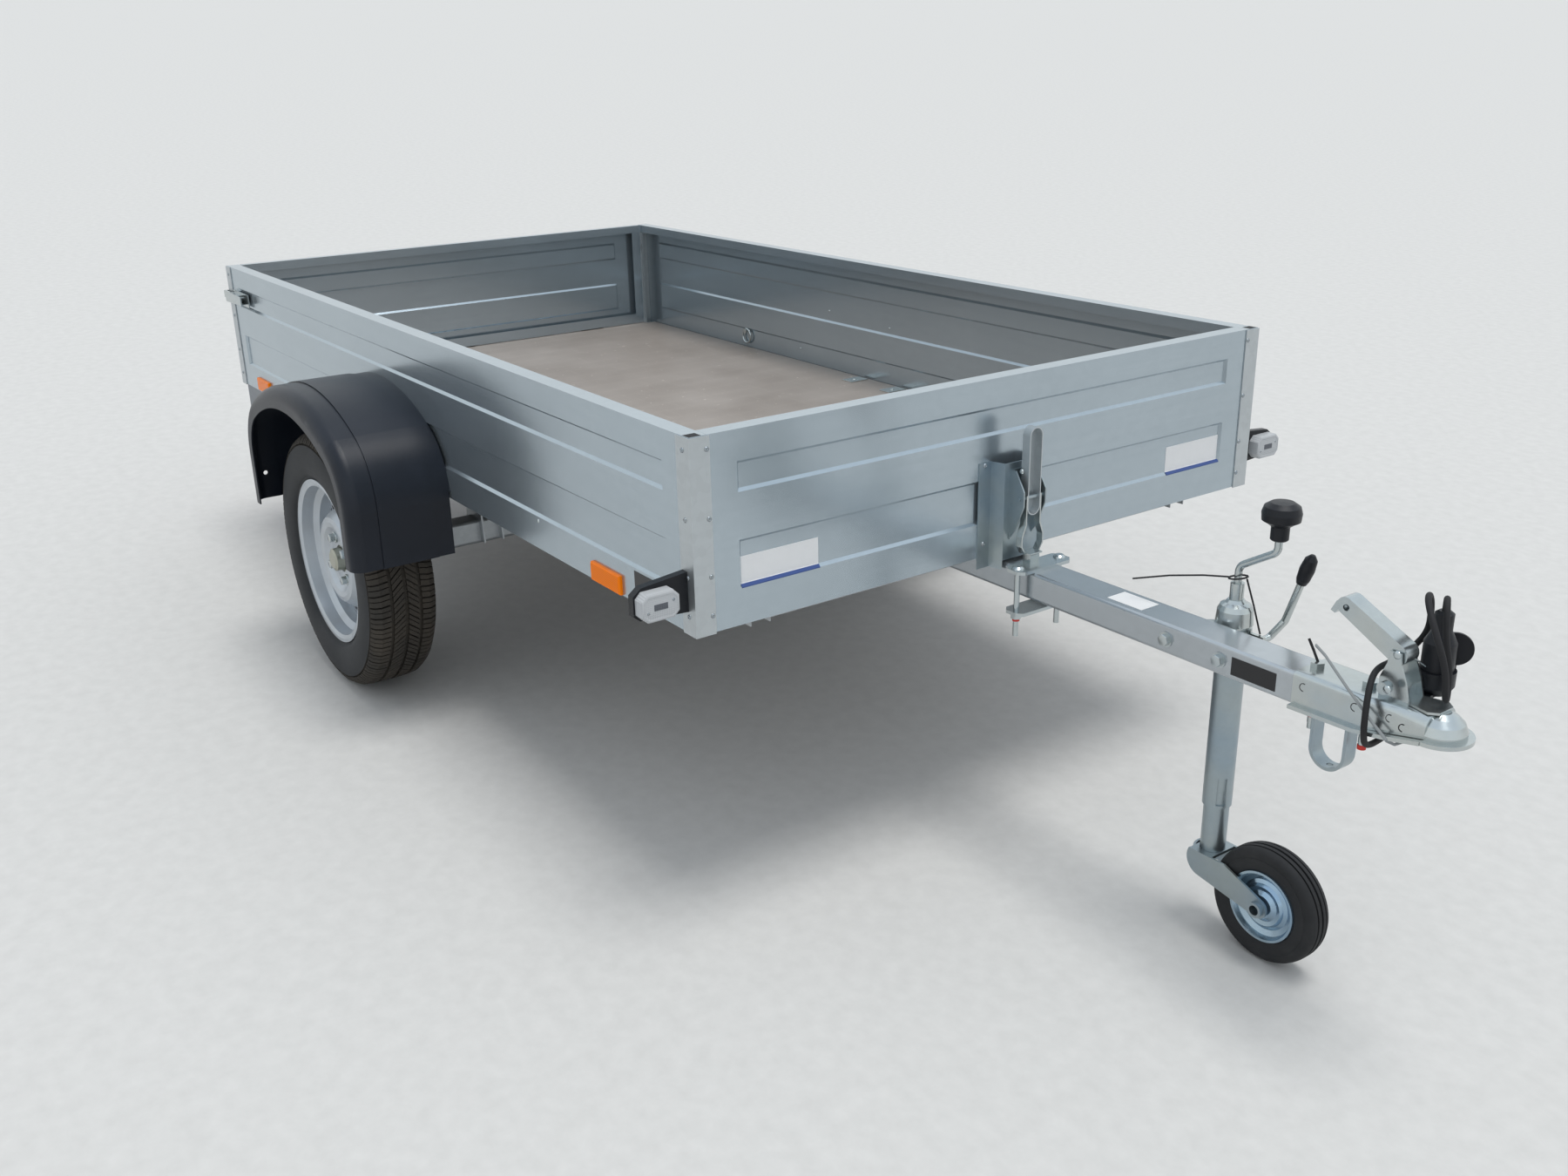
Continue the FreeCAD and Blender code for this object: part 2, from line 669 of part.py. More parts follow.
def arch_block(inset, y0, y1, low, corner=0.0):
    """The arch from y0 to y1, with its outer rim rounded by corner."""
    face = arch(inset, low)
    face.translate(V(0, y0, 0))
    block = face.extrude(V(0, y1 - y0, 0))
    if corner:
        rim_edges = [e for e in block.Edges if e.BoundBox.YMin > y1 - 0.1 and e.BoundBox.ZMax > low + 1]
        block = block.makeFillet(corner, rim_edges)
    return block


def mudguards():
    """Moulded arches with flanges, a raised band over the crown and a hole near the rear end."""
    y0 = WALL_OUT
    y1 = y0 + GUARD_W
    t = GUARD_T
    band0 = y0 + GUARD_BAND_IN
    band1 = y1 - GUARD_BAND_OUT
    under = GUARD_LOW - 5
    skin = arch_block(0, y0, y1, GUARD_LOW, GUARD_CORNER)
    skin = skin.fuse(arch_block(-GUARD_BAND, band0, band1, GUARD_LOW))
    hollow = arch_block(t, y0 + t, y1 - t, under, GUARD_CORNER - t)
    hollow = hollow.fuse(arch_block(t - GUARD_BAND, band0 + t, band1 - t, under))
    window = arch_block(GUARD_FLANGE, y0 - 5, y1 + 5, under)
    # below the wall the inner flange ends
    reach = GUARD_END + 75
    open_foot = box(-reach, reach, y0 - 1, y0 + t - 0.01, GUARD_LOW - 1, TUB_BOTTOM + 15)
    hole_y = y1 - GUARD_HOLE_IN
    hole = rod((-reach, hole_y, GUARD_HOLE_Z), (-SHOULDER_R, hole_y, GUARD_HOLE_Z), GUARD_HOLE_R)
    return both(skin.cut([hollow, window, open_foot, hole]).removeSplitter())


# Tailgate and its hinges and latches

def tailgate():
    """Pressed sheet folded round all four edges."""
    w = 2 * GATE_HALF
    t = SHEET
    inner = GATE_T - t
    gate = panel(w, GATE_LOW, GATE_T, LIP, GATE_T)
    foot = box(0, w, inner, GATE_T, GATE_LOW, GATE_LOW + END_BAND)
    ends = [box(x, x + t, 0, GATE_T, GATE_LOW, TOP) for x in (0, w - t)]
    bands = [box(x, x + END_BAND, inner, GATE_T, GATE_LOW, TOP) for x in (0, w - END_BAND)]
    gate = one([gate, foot] + ends + bands)
    gate.rotate(V(0, 0, 0), V(0, 0, 1), -90)
    gate.translate(V(REAR, GATE_HALF, 0))
    return gate


def gate_leaves():
    """Hinge leaves on the tailgate, each with its pin."""
    leaves = []
    x0 = REAR - LEAF_T
    e = LEAF_HALF
    for y in HINGES_Y:
        plate = box(x0, REAR, y - e, y + e, HINGE_Z + HINGE_R + 2, LEAF_TOP)
        pin = rod((HINGE_X, y - e, HINGE_Z), (HINGE_X, y + e, HINGE_Z), HINGE_PIN_R)
        pieces = [plate, pin]
        for y0 in (y - e, y + e - BARREL_L):
            y1 = y0 + BARREL_L
            pieces.append(box(x0, REAR, y0, y1, HINGE_Z, HINGE_Z + 30))
            pieces.append(rod((HINGE_X, y0, HINGE_Z), (HINGE_X, y1, HINGE_Z), HINGE_R))
        leaves.append(one(pieces))
    return Part.makeCompound(leaves)


def gate_hinges():
    """Hinge plates on the tub's rear sill, each with one knuckle."""
    plates = []
    for y in HINGES_Y:
        y0 = y - KNUCKLE_HALF
        y1 = y + KNUCKLE_HALF
        plate = box(REAR - 1, REAR + POST_T, y0, y1, FLOOR_UNDER - MEMBER_H, HINGE_Z - 1)
        knuckle = rod((HINGE_X, y0, HINGE_Z), (HINGE_X, y1, HINGE_Z), HINGE_R)
        web = box(HINGE_X, REAR, y0, y1, HINGE_Z - HINGE_R, HINGE_Z - 2)
        bore = rod((HINGE_X, y0 - 1, HINGE_Z), (HINGE_X, y1 + 1, HINGE_Z), HINGE_PIN_R + PLAY)
        plates.append(one([plate, knuckle, web]).cut(bore))
    return Part.makeCompound(plates)


def side_latches():
    """Over-centre latches on the side walls; the hook reaches round the rear post."""
    z0 = LATCH_LOW
    z1 = LATCH_HIGH
    y0 = WALL_OUT
    y2 = y0 + LATCH_OUT
    tip = REAR + 22
    heel = REAR + LATCH_L - 12
    base = box(REAR + LATCH_BACK, REAR + LATCH_L, y0, y0 + 3, z0, z1)
    x0 = REAR + LATCH_CHEEK
    x1 = x0 + LATCH_CHEEK_L
    cheeks = [box(x0, x1, y0 + 3, y2 - 3, z, z + 2) for z in (z0 + 4, z1 - 6)]
    tray = [(tip, z0 + 2), (heel, z0 + 6), (heel, z1 - 6), (tip, z1 - 2)]
    lever = side_piece(tray, y2 - 3, y2)
    rims = [box(tip, heel, y0 + 8, y2 - 2, z, z + 2) for z in (z0 + 7, z1 - 9)]
    reach = REAR - HOOK_REACH
    hook = box(reach, REAR + HOOK_ROOT, y0 + 8, y0 + 12, z0 + 8, z1 - 8)
    claw = box(reach, reach + 4, GATE_HALF + GATE_GAP, y0 + 12, z0 + 8, z1 - 8)
    return both(one([base, lever, hook, claw] + cheeks + rims))


def lashing_rings():
    """Rings hanging from staples on the side walls' inner faces."""
    parts = []
    y = WALL_IN
    z = RING_Z + 14
    for x in RINGS_X:
        bar = rod((x, y, z), (x, y - STAPLE_OUT, z), STAPLE_R)
        washer = rod((x, y - STAPLE_OUT + 2, z), (x, y - STAPLE_OUT, z), WASHER_R)
        ring = Part.makeTorus(RING_R, RING_BAR, V(x, y - 6, RING_Z), V(0, 1, 0))
        parts += [one([bar, washer]), ring]
    return both(Part.makeCompound(parts))


# Lamps

def lamp_carrier():
    """Folded sheet under the tail: a set-back board between two end plates."""
    z1 = CARRIER_TOP
    z0 = CARRIER_LOW
    y = CARRIER_Y
    t = CARRIER_T
    x1 = REAR + CARRIER_BACK
    x2 = REAR + CARRIER_L
    end = side_piece([(REAR, z1), (REAR, z0), (REAR + 14, z0), (x2, z1 - 50), (x2, z1)], y, y + t)
    flange = box(REAR, REAR + t, y - CARRIER_FLANGE, y + t, z0, z1)
    board = box(x1, x1 + t, -y, y, z0 + 4, z1)
    foot = box(x1, x1 + 22, -y, y, z0 + 4, z0 + 4 + t)
    hanger = box(x1, x2, y - 20, y, z1 - t, z1)
    return one([board, foot, end, mirror(end), flange, mirror(flange), hanger, mirror(hanger)])


def rear_lamps():
    y1 = REAR_LAMP_OUT
    z0 = REAR_LAMP_LOW
    lamp = box(REAR, REAR + CARRIER_BACK, y1 - REAR_LAMP_W, y1, z0, z0 + REAR_LAMP_H)
    edges = [e for e in lamp.Edges if e.BoundBox.XMax < REAR + 1 or e.BoundBox.XLength > 30]
    return both(lamp.makeFillet(REAR_LAMP_CORNER, edges))


def front_lamps():
    """Clear marker lamps with cut corners beside the front posts."""
    block = box(LAMP_BACK, LAMP_FACE, LAMP_Y, LAMP_Y + LAMP_W, LAMP_Z, LAMP_Z + LAMP_H)
    block = block.makeChamfer(LAMP_CORNER, [e for e in block.Edges if e.BoundBox.XLength > 20])
    return both(block.makeChamfer(6, [e for e in block.Edges if e.BoundBox.XMin > LAMP_FACE - 1]))


def lamp_brackets():
    y1 = LAMP_Y + LAMP_W + 3
    z0 = LAMP_Z - 3
    z1 = LAMP_Z + LAMP_H + 3
    lower = [(HALF, z0 + 9), (LAMP_Y + 8, z0), (y1 - 12, z0), (y1, z0 + 15)]
    upper = [(y1, z1 - 15), (y1 - 12, z1), (HALF, z1 + 5)]
    return both(front_piece(lower + upper, LAMP_BACK - BRACKET_L, LAMP_BACK))


def side_reflectors():
    plates = []
    y1 = WALL_OUT + REFLECTOR_T
    for x0, x1, z0 in REFLECTORS:
        block = box(x0, x1, WALL_OUT, y1, z0, z0 + REFLECTOR_H)
        plates.append(block.makeChamfer(2.5, [e for e in block.Edges if e.BoundBox.YMin > y1 - 1]))
    return both(Part.makeCompound(plates))


# Post and toggle latch on the front wall, with its catch on the drawbar

POST_DEEP = 30.0
POST_SHEET = 2.0
POST_OUT = FRONT - POST_T + POST_DEEP
POST_LOW = BAR_TOP - 12.0
POST_TOP = BAR_TOP + 180.0
# the hat section's half: flange edge, foot of its side, corner of its face
POST_FLANGE = 74.0
POST_FOOT = 47.0
POST_FACE = 40.0
PIVOT_X = POST_OUT + 24.0
PIVOT_Z = BAR_TOP + 120.0
PIVOT_R = 4.0
PIVOT_HALF = 31.0
LOOP_LOW = BAR_TOP + 20.0
LOOP_T = 2.5
CATCH_X = FRONT + 55.5
CATCH_L = 44.0
CATCH_T = 6.0
CATCH_CUT = 10.0
CATCH_HALF = BAR_W / 2 + 28.0
CATCH_BOLT_R = 5.0
CATCH_BOLT_Y = BAR_W / 2 + 15.0
CATCH_HEAD_R = 11.0
CATCH_SHANK = 68.0
CATCH_NUT = 17.0
# the lower plate hangs below the drawbar on its bolts
CATCH_UNDER = BAR_LOW - 26.0


def pivot_rod():
    return rod((PIVOT_X, -PIVOT_HALF, PIVOT_Z), (PIVOT_X, PIVOT_HALF, PIVOT_Z), PIVOT_R)


def front_post():
    """Hat-shaped pressing, open at its top and cut away over the drawbar."""
    x = FRONT - POST_T
    t = POST_SHEET
    outside = [(POST_FACE, POST_DEEP), (POST_FOOT, t), (POST_FLANGE, t), (POST_FLANGE, 0)]
    inside = [(POST_FOOT - t, 0), (POST_FACE - t, POST_DEEP - t)]
    half = outside + inside
    inner = [(-y, d) for y, d in reversed(inside)] + [(-y, d) for y, d in reversed(outside)]
    wire = Part.makePolygon([V(x + d, y, POST_LOW) for y, d in half + inner + half[:1]])
    post = Part.Face(wire).extrude(V(0, 0, POST_TOP - POST_LOW))
    way = BAR_W / 2 + 5
    return post.cut(box(x - 1, POST_OUT + 1, -way, way, POST_LOW - 1, BAR_TOP + 5))


def toggle_bracket():
    """Base plate with two triangular cheeks that carry the lever's pivot."""
    x = POST_OUT
    z0 = BAR_TOP + 42
    z1 = BAR_TOP + 168
    base = box(x, x + 3, -27, 27, z0, z1)
    foot = [(x, z0), (x + 14, z0 + 18), (x + 34, z0 + 66)]
    head = [(x + 34, z0 + 92), (x + 12, z1), (x, z1)]
    cheeks = [side_piece(foot + head, y, y + 3) for y in (-27, 24)]
    return one([base, pivot_rod()] + cheeks)


def toggle_lever():
    """Long tray-shaped handle with round ends, open to the front, on the cheeks' pivot."""
    x0 = POST_OUT + 14
    x1 = POST_OUT + 32
    z0 = BAR_TOP + 104
    z1 = BAR_TOP + 230

    def stadium(r, x):
        ends = [rod((x, 0, z), (x1 + 1, 0, z), r) for z in (z0, z1)]
        return one(ends + [box(x, x1 + 1, -r, r, z0, z1)])
    ahead = box(x1, x1 + 9, -20, 20, z0 - 20, z1 + 20)
    return stadium(15, x0).cut([stadium(13, x0 + 2), ahead, pivot_rod()])


def toggle_loop():
    """Bowed strap from the lever's sides down to a cup over the catch."""
    x0 = POST_OUT + 18
    t = LOOP_T
    z = LOOP_LOW
    top = z + 106
    outer = [(15 + t, top), (15 + t, z + 54), (26, z + 32), (26, z + 14), (17, z)]
    inner = [(15, top), (15, z + 53), (26 - t, z + 31), (26 - t, z + 15), (16, z + t)]
    ring = outer + [(-y, h) for y, h in reversed(outer)] + [(-y, h) for y, h in inner]
    strap = front_piece(ring + list(reversed(inner)), x0, x0 + 14)
    cup = box(x0, x0 + 24, -15, 15, z, z + t)
    return one([strap, cup]).cut(pivot_rod())


def catch_bolt_places():
    return [(CATCH_X + CATCH_L / 2, s * CATCH_BOLT_Y) for s in (-1, 1)]


def catch_plates():
    """Clamp plates over and under the drawbar, the upper one with the catch."""
    x0 = CATCH_X
    x1 = CATCH_X + CATCH_L
    w = CATCH_HALF
    c = CATCH_CUT
    half = [(x0, w - c), (x0 + c, w), (x1 - c, w), (x1, w - c)]
    shape = half + [(x, -y) for x, y in reversed(half)]
    upper = top_piece(shape, BAR_TOP, BAR_TOP + CATCH_T)
    lower = top_piece(shape, CATCH_UNDER, CATCH_UNDER + CATCH_T)
    horn = box(x0 - 6, x0 + 12, -11, 11, BAR_TOP, BAR_TOP + 18)
    holes = [rod((x, y, 0), (x, y, TOP), CATCH_BOLT_R) for x, y in catch_bolt_places()]
    return Part.makeCompound([one([upper, horn]).cut(holes), lower.cut(holes)])


def hexagon(x, y, z0, z1, across):
    """Upright hexagonal nut or bolt head; across is its width over flats."""
    r = across / math.sqrt(3)
    turns = [math.radians(60 * i) for i in range(6)]
    return top_piece([(x + r * math.cos(a), y + r * math.sin(a)) for a in turns], z0, z1)


def catch_bolts():
    """Round-headed bolts through both plates, each with its nut below."""
    z = BAR_TOP + CATCH_T
    r = CATCH_HEAD_R
    bolts = []
    for x, y in catch_bolt_places():
        shank = rod((x, y, BAR_LOW - CATCH_SHANK), (x, y, z), CATCH_BOLT_R)
        head = turned([(z, 0), (z, r), (z + 2, r - 0.5), (z + 5, r - 4), (z + 6, 0)], (x, y, 0), (0, 0, 1))
        nut = hexagon(x, y, CATCH_UNDER - 9, CATCH_UNDER, CATCH_NUT)
        bolts.append(one([shank, head, nut]))
    return Part.makeCompound(bolts)


# Coupling

def coupling_section(x, half, low, top, radius):
    """Inverted trough section with rounded upper corners."""
    r = radius
    k = r * (1 - math.sqrt(0.5))
    left = [V(x, half - r, top), V(x, half - k, top - k), V(x, half, top - r), V(x, half, low)]
    a, b, c, d = [V(x, -p.y, p.z) for p in reversed(left)]
    e, f, g, h = left
    edges = [
        Part.makeLine(a, b),
        Part.Arc(b, c, d).toShape(),
        Part.makeLine(d, e),
        Part.Arc(e, f, g).toShape(),
        Part.makeLine(g, h),
        Part.makeLine(h, a),
    ]
    return Part.Wire(edges)


def coupling_shell(inset):
    """Pressed body: trough over the drawbar, tapering to the ball dome.

    With an inset it is the body's hollow, which is open at the rear and below."""
    half = BODY_HALF - inset
    top = ROOF_Z - inset
    low = 60.0 if inset else 0.0
    r = half - 3
    sections = [
        (COUPLING_REAR - low, half, BAR_LOW - 2 - low, top, 9 - inset),
        (TROUGH_END, half, BAR_LOW - low, top, 9 - inset),
        (THROAT_X, r, THROAT_Z - low, top + 1, 13 - inset),
        (BALL_X, r, BALL_Z - low, top + 2, 20 - inset),
    ]
    trough = Part.makeLoft([coupling_section(*s) for s in sections], True, True)
    side = [(BALL_Z - low, 0), (BALL_Z - low, r), (BALL_Z + 12, r), (BALL_Z + 24, r - 5)]
    crown = [(top - 3, r - 14), (top + 2, r - 24), (top + 2, 0)]
    return trough.fuse(turned(side + crown, (BALL_X, 0, 0), (0, 0, 1)))


def coupling_body():
    """Pressed shell with a flange round its lower edge and the ball's cup in its dome."""
    body = coupling_shell(0).cut(coupling_shell(COUPLING_T))
    half = BODY_HALF
    z0 = BAR_LOW - 2
    centre = (BALL_X, 0, 0)
    up = (0, 0, 1)
    under = [(COUPLING_REAR, z0), (TROUGH_END, BAR_LOW), (THROAT_X, THROAT_Z), (BALL_X, BALL_Z)]
    over = [(x, z + FLANGE_T) for x, z in reversed(under)]
    rims = [side_piece(under + over, y, y + FLANGE_W + 0.5) for y in (-half - FLANGE_W, half - 0.5)]
    z1 = BALL_Z + FLANGE_T
    collar = tube((BALL_X, 0, BALL_Z), (BALL_X, 0, z1), half + FLANGE_W - 2, half - 3 - COUPLING_T)
    behind = box(BALL_X - 2 * half, BALL_X, -2 * half, 2 * half, BALL_Z - 1, z1 + 1)
    ball_side = [(BALL_Z, 0), (BALL_Z, BALL_R), (BALL_Z + 10, BALL_R - 2), (BALL_Z + 20, BALL_R - 9)]
    socket = turned(ball_side + [(BALL_Z + BALL_R, 3), (BALL_Z + BALL_R, 0)], centre, up)
    cup_side = [(BALL_Z, 0), (BALL_Z, half - 4), (BALL_Z + 14, half - 4)]
    cup = turned(cup_side + [(BAR_TOP + 3, 18), (BAR_TOP + 3, 0)], centre, up).cut(socket)
    bolt_holes = [rod((x, 0, 0), (x, 0, TOP), BOLT_R) for x in COUPLING_BOLTS]
    return one([body, cup, collar.cut(behind)] + rims).cut(bolt_holes)


def coupling_bolts():
    bolts = []
    for x in COUPLING_BOLTS:
        shank = rod((x, 0, SHANK_LOW), (x, 0, ROOF_Z), BOLT_R)
        head = hexagon(x, 0, ROOF_Z, ROOF_Z + HEAD_H, BOLT_ACROSS)
        nut = hexagon(x, 0, BAR_LOW - NUT_H, BAR_LOW, BOLT_ACROSS)
        bolts.append(one([shank, head, nut]))
    return Part.makeCompound(bolts)


def coupling_handle():
    """Pressed channel lever on its yoke, open below, with a hooked end."""
    hinge = (RIDER_X, RIDER_Z)
    x, z = HANDLE_TIP
    t = HANDLE_T
    y = HANDLE_HALF
    arm = link(hinge, HANDLE_TIP, 15, 13, -y, y)
    inner = link(hinge, HANDLE_TIP, 15 - t, 13 - t, -y + t, y - t)
    mouth = [(x - 14, z - 13), (RIDER_X - 9, RIDER_Z - 16), (RIDER_X - 31, RIDER_Z - 51), (x - 44, z - 56)]
    under = side_piece(mouth, -y + t, y - t)
    hooked = [(x, z + 13), (x - 14, z + 4), (x - 22, z - 12), (x - 15, z - 15), (x - 6, z - 2)]
    claw = side_piece(hooked, -y, y)
    eye = rod((x + 2, -y - 1, z - 2), (x + 2, y + 1, z - 2), RIDER_R)
    bore = rod((RIDER_X, -y - 1, RIDER_Z), (RIDER_X, y + 1, RIDER_Z), RIDER_R)
    return one([arm.cut([inner, under]), claw]).cut([eye, bore])


def coupling_yoke():
    """Rocker under the handle, standing on the coupling's roof, with its flap over the dome."""
    x = RIDER_X
    z = RIDER_Z
    w = CHEEK_HALF
    foot = [(x - 17, ROOF_Z), (x + 29, ROOF_Z), (x + 21, z - 35), (x + 11, z - 11)]
    head = [(x + 9, z + 5), (x - 9, z + 5), (x - 10, z - 13), (x - 19, z - 37)]
    cheeks = [side_piece(foot + head, y, y + 3) for y in (-w, w - 3)]
    web = box(x - 13, x + 17, -w, w, ROOF_Z, ROOF_Z + 22)
    pin = rod((x, -w - 2, z), (x, w + 2, z), RIDER_R)
    boss_z = ROOF_Z + 15
    boss = rod((x - 9, -w - 6, boss_z), (x - 9, -w, boss_z), 9)
    half = [(x + 15, 15), (BALL_X - 6, 26), (BALL_X + 6, 16)]
    flap = top_piece(half + [(a, -y) for a, y in reversed(half)], ROOF_Z + 2.2, ROOF_Z + 5.7)
    return one(cheeks + [web, pin, boss, flap]).cut(coupling_shell(0))


def park_strap():
    """Flat U-shaped strap under the coupling, with a hole in its bend."""
    x0 = STRAP_REAR
    x1 = STRAP_FRONT
    z0 = STRAP_LOW
    t = STRAP_T
    r = (x1 - x0) / 2
    w = STRAP_HALF
    cz = z0 + r
    legs = [box(x0, x0 + t, -w, w, cz, BAR_LOW), box(x1 - t, x1, -w, w, cz, BAR_LOW)]
    bend = tube((x0 + r, -w, cz), (x0 + r, w, cz), r, r - t).cut(box(x0 - 1, x1 + 1, -w - 1, w + 1, cz, BAR_LOW))
    ears = [box(a, b, -w, w, BAR_LOW - 4, BAR_LOW) for a, b in ((x0 - 12, x0 + t), (x1 - t, x1 + 2))]
    hole = rod((x0 + r, 0, z0 - 1), (x0 + r, 0, z0 + t + 2), 5)
    nut_x = COUPLING_BOLTS[0]
    nut_way = rod((nut_x, 0, 0), (nut_x, 0, BAR_TOP), BOLT_ACROSS / 2 + 2.5)
    return one(legs + [bend] + ears).cut([hole, nut_way])


# Plug in its park holder, and its cable


def plug_holder():
    """Black cup with its sprung lid standing open behind the plug."""
    z = BAR_TOP + 8
    outside = [(z, 0), (z, 19), (z + 12, 26), (z + 34, 26)]
    well = PLUG_R + SEAT
    inside = [(z + 34, well), (z + 8, well), (z + 8, 0)]
    cup = turned(outside + inside, (PLUG_X, PLUG_Y, 0), (0, 0, 1))
    foot = box(PLUG_X - 16, PLUG_X + 10, PLUG_Y - 24, PLUG_Y, z - 2, z + 3)
    n = V(-0.5, 0.87, 0)
    c = V(PLUG_X, PLUG_Y, z + 56) + n * 25.5 + V(0.87, 0.5, 0) * 20
    lid = Part.makeCylinder(24, 4, c, n)
    tab = box(PLUG_X - 5, PLUG_X + 7, PLUG_Y + 23, c.y + 5, z + 26, z + 36)
    return one([cup, foot, lid, tab])


def plug():
    """Upright plug, its neck narrowing to the cable's gland."""
    z = BAR_TOP + 16
    r = PLUG_R
    body = [(z, 0), (z, r), (z + 66, r), (z + 78, r - 6), (z + 84, r - 9)]
    gland = [(z + 108, r - 9), (z + 112, r - 14), (z + 112, 0)]
    return turned(body + gland, (PLUG_X, PLUG_Y, 0), (0, 0, 1))


# centre line of the cable: x from the ball, y, z from the top of the drawbar
CABLE_RUN = [
    (-252.0, 31.0, -31.3),
    (-230.0, 70.0, -31.3),
    (-175.0, 84.0, -37.0),
    (-122.0, 76.0, -52.0),
    (-90.0, 52.0, -66.0),
    (-87.0, 8.0, -72.0),
    (-81.0, -40.0, -68.0),
    (-74.0, -60.0, -36.0),
    (-76.0, -58.0, 8.0),
    (-86.0, -38.0, 34.0),
    (-98.0, -6.0, 38.0),
    (-100.0, 32.0, 37.0),
    (-92.0, 62.0, 50.0),
    (-74.0, 69.0, 82.0),
    (-71.0, 61.0, 124.0),
    (-62.0, 36.0, 150.0),
    (-48.0, 8.0, 150.0),
    (-20.0, -11.0, 118.0),
    (0.0, -6.0, 68.0),
    (4.0, -4.0, 22.0),
    (-6.0, 18.0, 20.0),
    (-10.0, 20.0, 60.0),
    (-19.0, 15.0, 104.0),
    (-23.0, 17.0, 134.0),
    (-32.0, 29.0, 150.0),
    (-41.5, 45.0, 147.0),
    (-42.0, 46.0, 128.0),
]


def cable_points():
    return [V(BALL_X + x, y, BAR_TOP + z) for x, y, z in CABLE_RUN]


def cable():
    points = cable_points()
    radii = []
    for i in range(1, len(points) - 1):
        back = points[i - 1] - points[i]
        ahead = points[i + 1] - points[i]
        half_turn = (math.pi - back.getAngle(ahead)) / 2
        radii.append(0.45 * min(back.Length, ahead.Length) / math.tan(half_turn))
    print("cable radii", [round(r, 1) for r in radii])
    return bent_rod(points, radii, CABLE_R)


# Jockey wheel

def jockey_clamp():
    """Bolted side plate, sleeve round the tube and two ears for the clamp lever."""
    x = JOCKEY_X
    y = JOCKEY_Y
    y0 = BAR_W / 2
    y1 = y0 + CLAMP_T
    z0 = CLAMP_LOW
    z1 = CLAMP_TOP
    plate = side_piece([(x - 77, z0), (x + 78, z0), (x + 78, z1), (x - 77, z1)], y0, y1, 8)
    sleeve = rod((x, y, z0 + 6), (x, y, z1), TUBE_R + 5)
    bridge = box(x - 26, x + 26, y1, y, z0 + 6, z1)
    shelf = [(x - 72, y1), (x + 3, y1), (x + 3, y + 26), (x - 17, y + 26)]
    shelf = top_piece(shelf, z1 - CLAMP_T, z1)
    ears = [box(x + 20, x + 52, a, a + 7, z0 + 12, z1 - 4) for a in (y - 10, y + 6)]
    bore = rod((x, y, 0), (x, y, TOP), TUBE_R)
    slit = box(x + 15, x + 60, y - 3, y + 6, 0, TOP)
    return one([plate, sleeve, bridge, shelf] + ears).cut([bore, slit])


def jockey_tube():
    """Outer tube with a slot and a notch at its foot."""
    x = JOCKEY_X
    y = JOCKEY_Y
    z = TUBE_END
    body = tube((x, y, z), (x, y, TUBE_TOP), TUBE_R, TUBE_R - TUBE_T)
    slot = box(x, x + 40, y - 20, y - 8, z + 5, z + 55)
    notch = box(x - 40, x - 10, y - 14, y + 14, z - 1, z + 18)
    return body.cut([slot, notch])


def jockey_head():
    """Domed cap on the tube, with the collar of the crank's spindle."""
    z = TUBE_TOP
    r = TUBE_R
    cap = [(z, 0), (z, r + 5), (z + 3, r + 6), (z + 26, r + 4), (z + 34, r), (z + 38, r - 7)]
    collar = [(z + 43, r - 11), (z + 43, r - 13), (z + 70, r - 13), (z + 70, 0)]
    return turned(cap + collar, (JOCKEY_X, JOCKEY_Y, 0), (0, 0, 1))


def crank():
    x = JOCKEY_X
    y = JOCKEY_Y
    z = TUBE_TOP + 70
    points = [(x, y, z), (x, y, z + 28), (KNOB_X, y, z + 68), (KNOB_X, y, z + 88)]
    return bent_rod(points, [18, 16], CRANK_R)


def crank_knob():
    z = TUBE_TOP + 158
    stem = [(z, 0), (z, 12), (z + 2, 14), (z + 22, 14), (z + 28, 22)]
    ball = [(z + 32, 29), (z + 44, 30), (z + 54, 27), (z + 60, 18), (z + 61, 0)]
    return turned(stem + ball, (KNOB_X, JOCKEY_Y, 0), (0, 0, 1))


def lever_points():
    root = V(*LEVER_ROOT)
    return [root + V(*step) for step in LEVER_RUN]


def clamp_lever():
    return bent_rod(lever_points(), [9, 12], CRANK_R)


def lever_grips():
    """Plastic sleeve on the clamp lever's end."""
    bend, end = lever_points()[-2:]
    profile = [(0, 0), (0, 8), (8, 10.5), (26, 12), (44, 10), (52, 4), (53, 0)]
    return turned(profile, end, end - bend)


def jockey_leg():
    foot = (JOCKEY_X, JOCKEY_Y, LEG_END)
    return tube(foot, (JOCKEY_X, JOCKEY_Y, 40), LEG_R, LEG_R - TUBE_T)


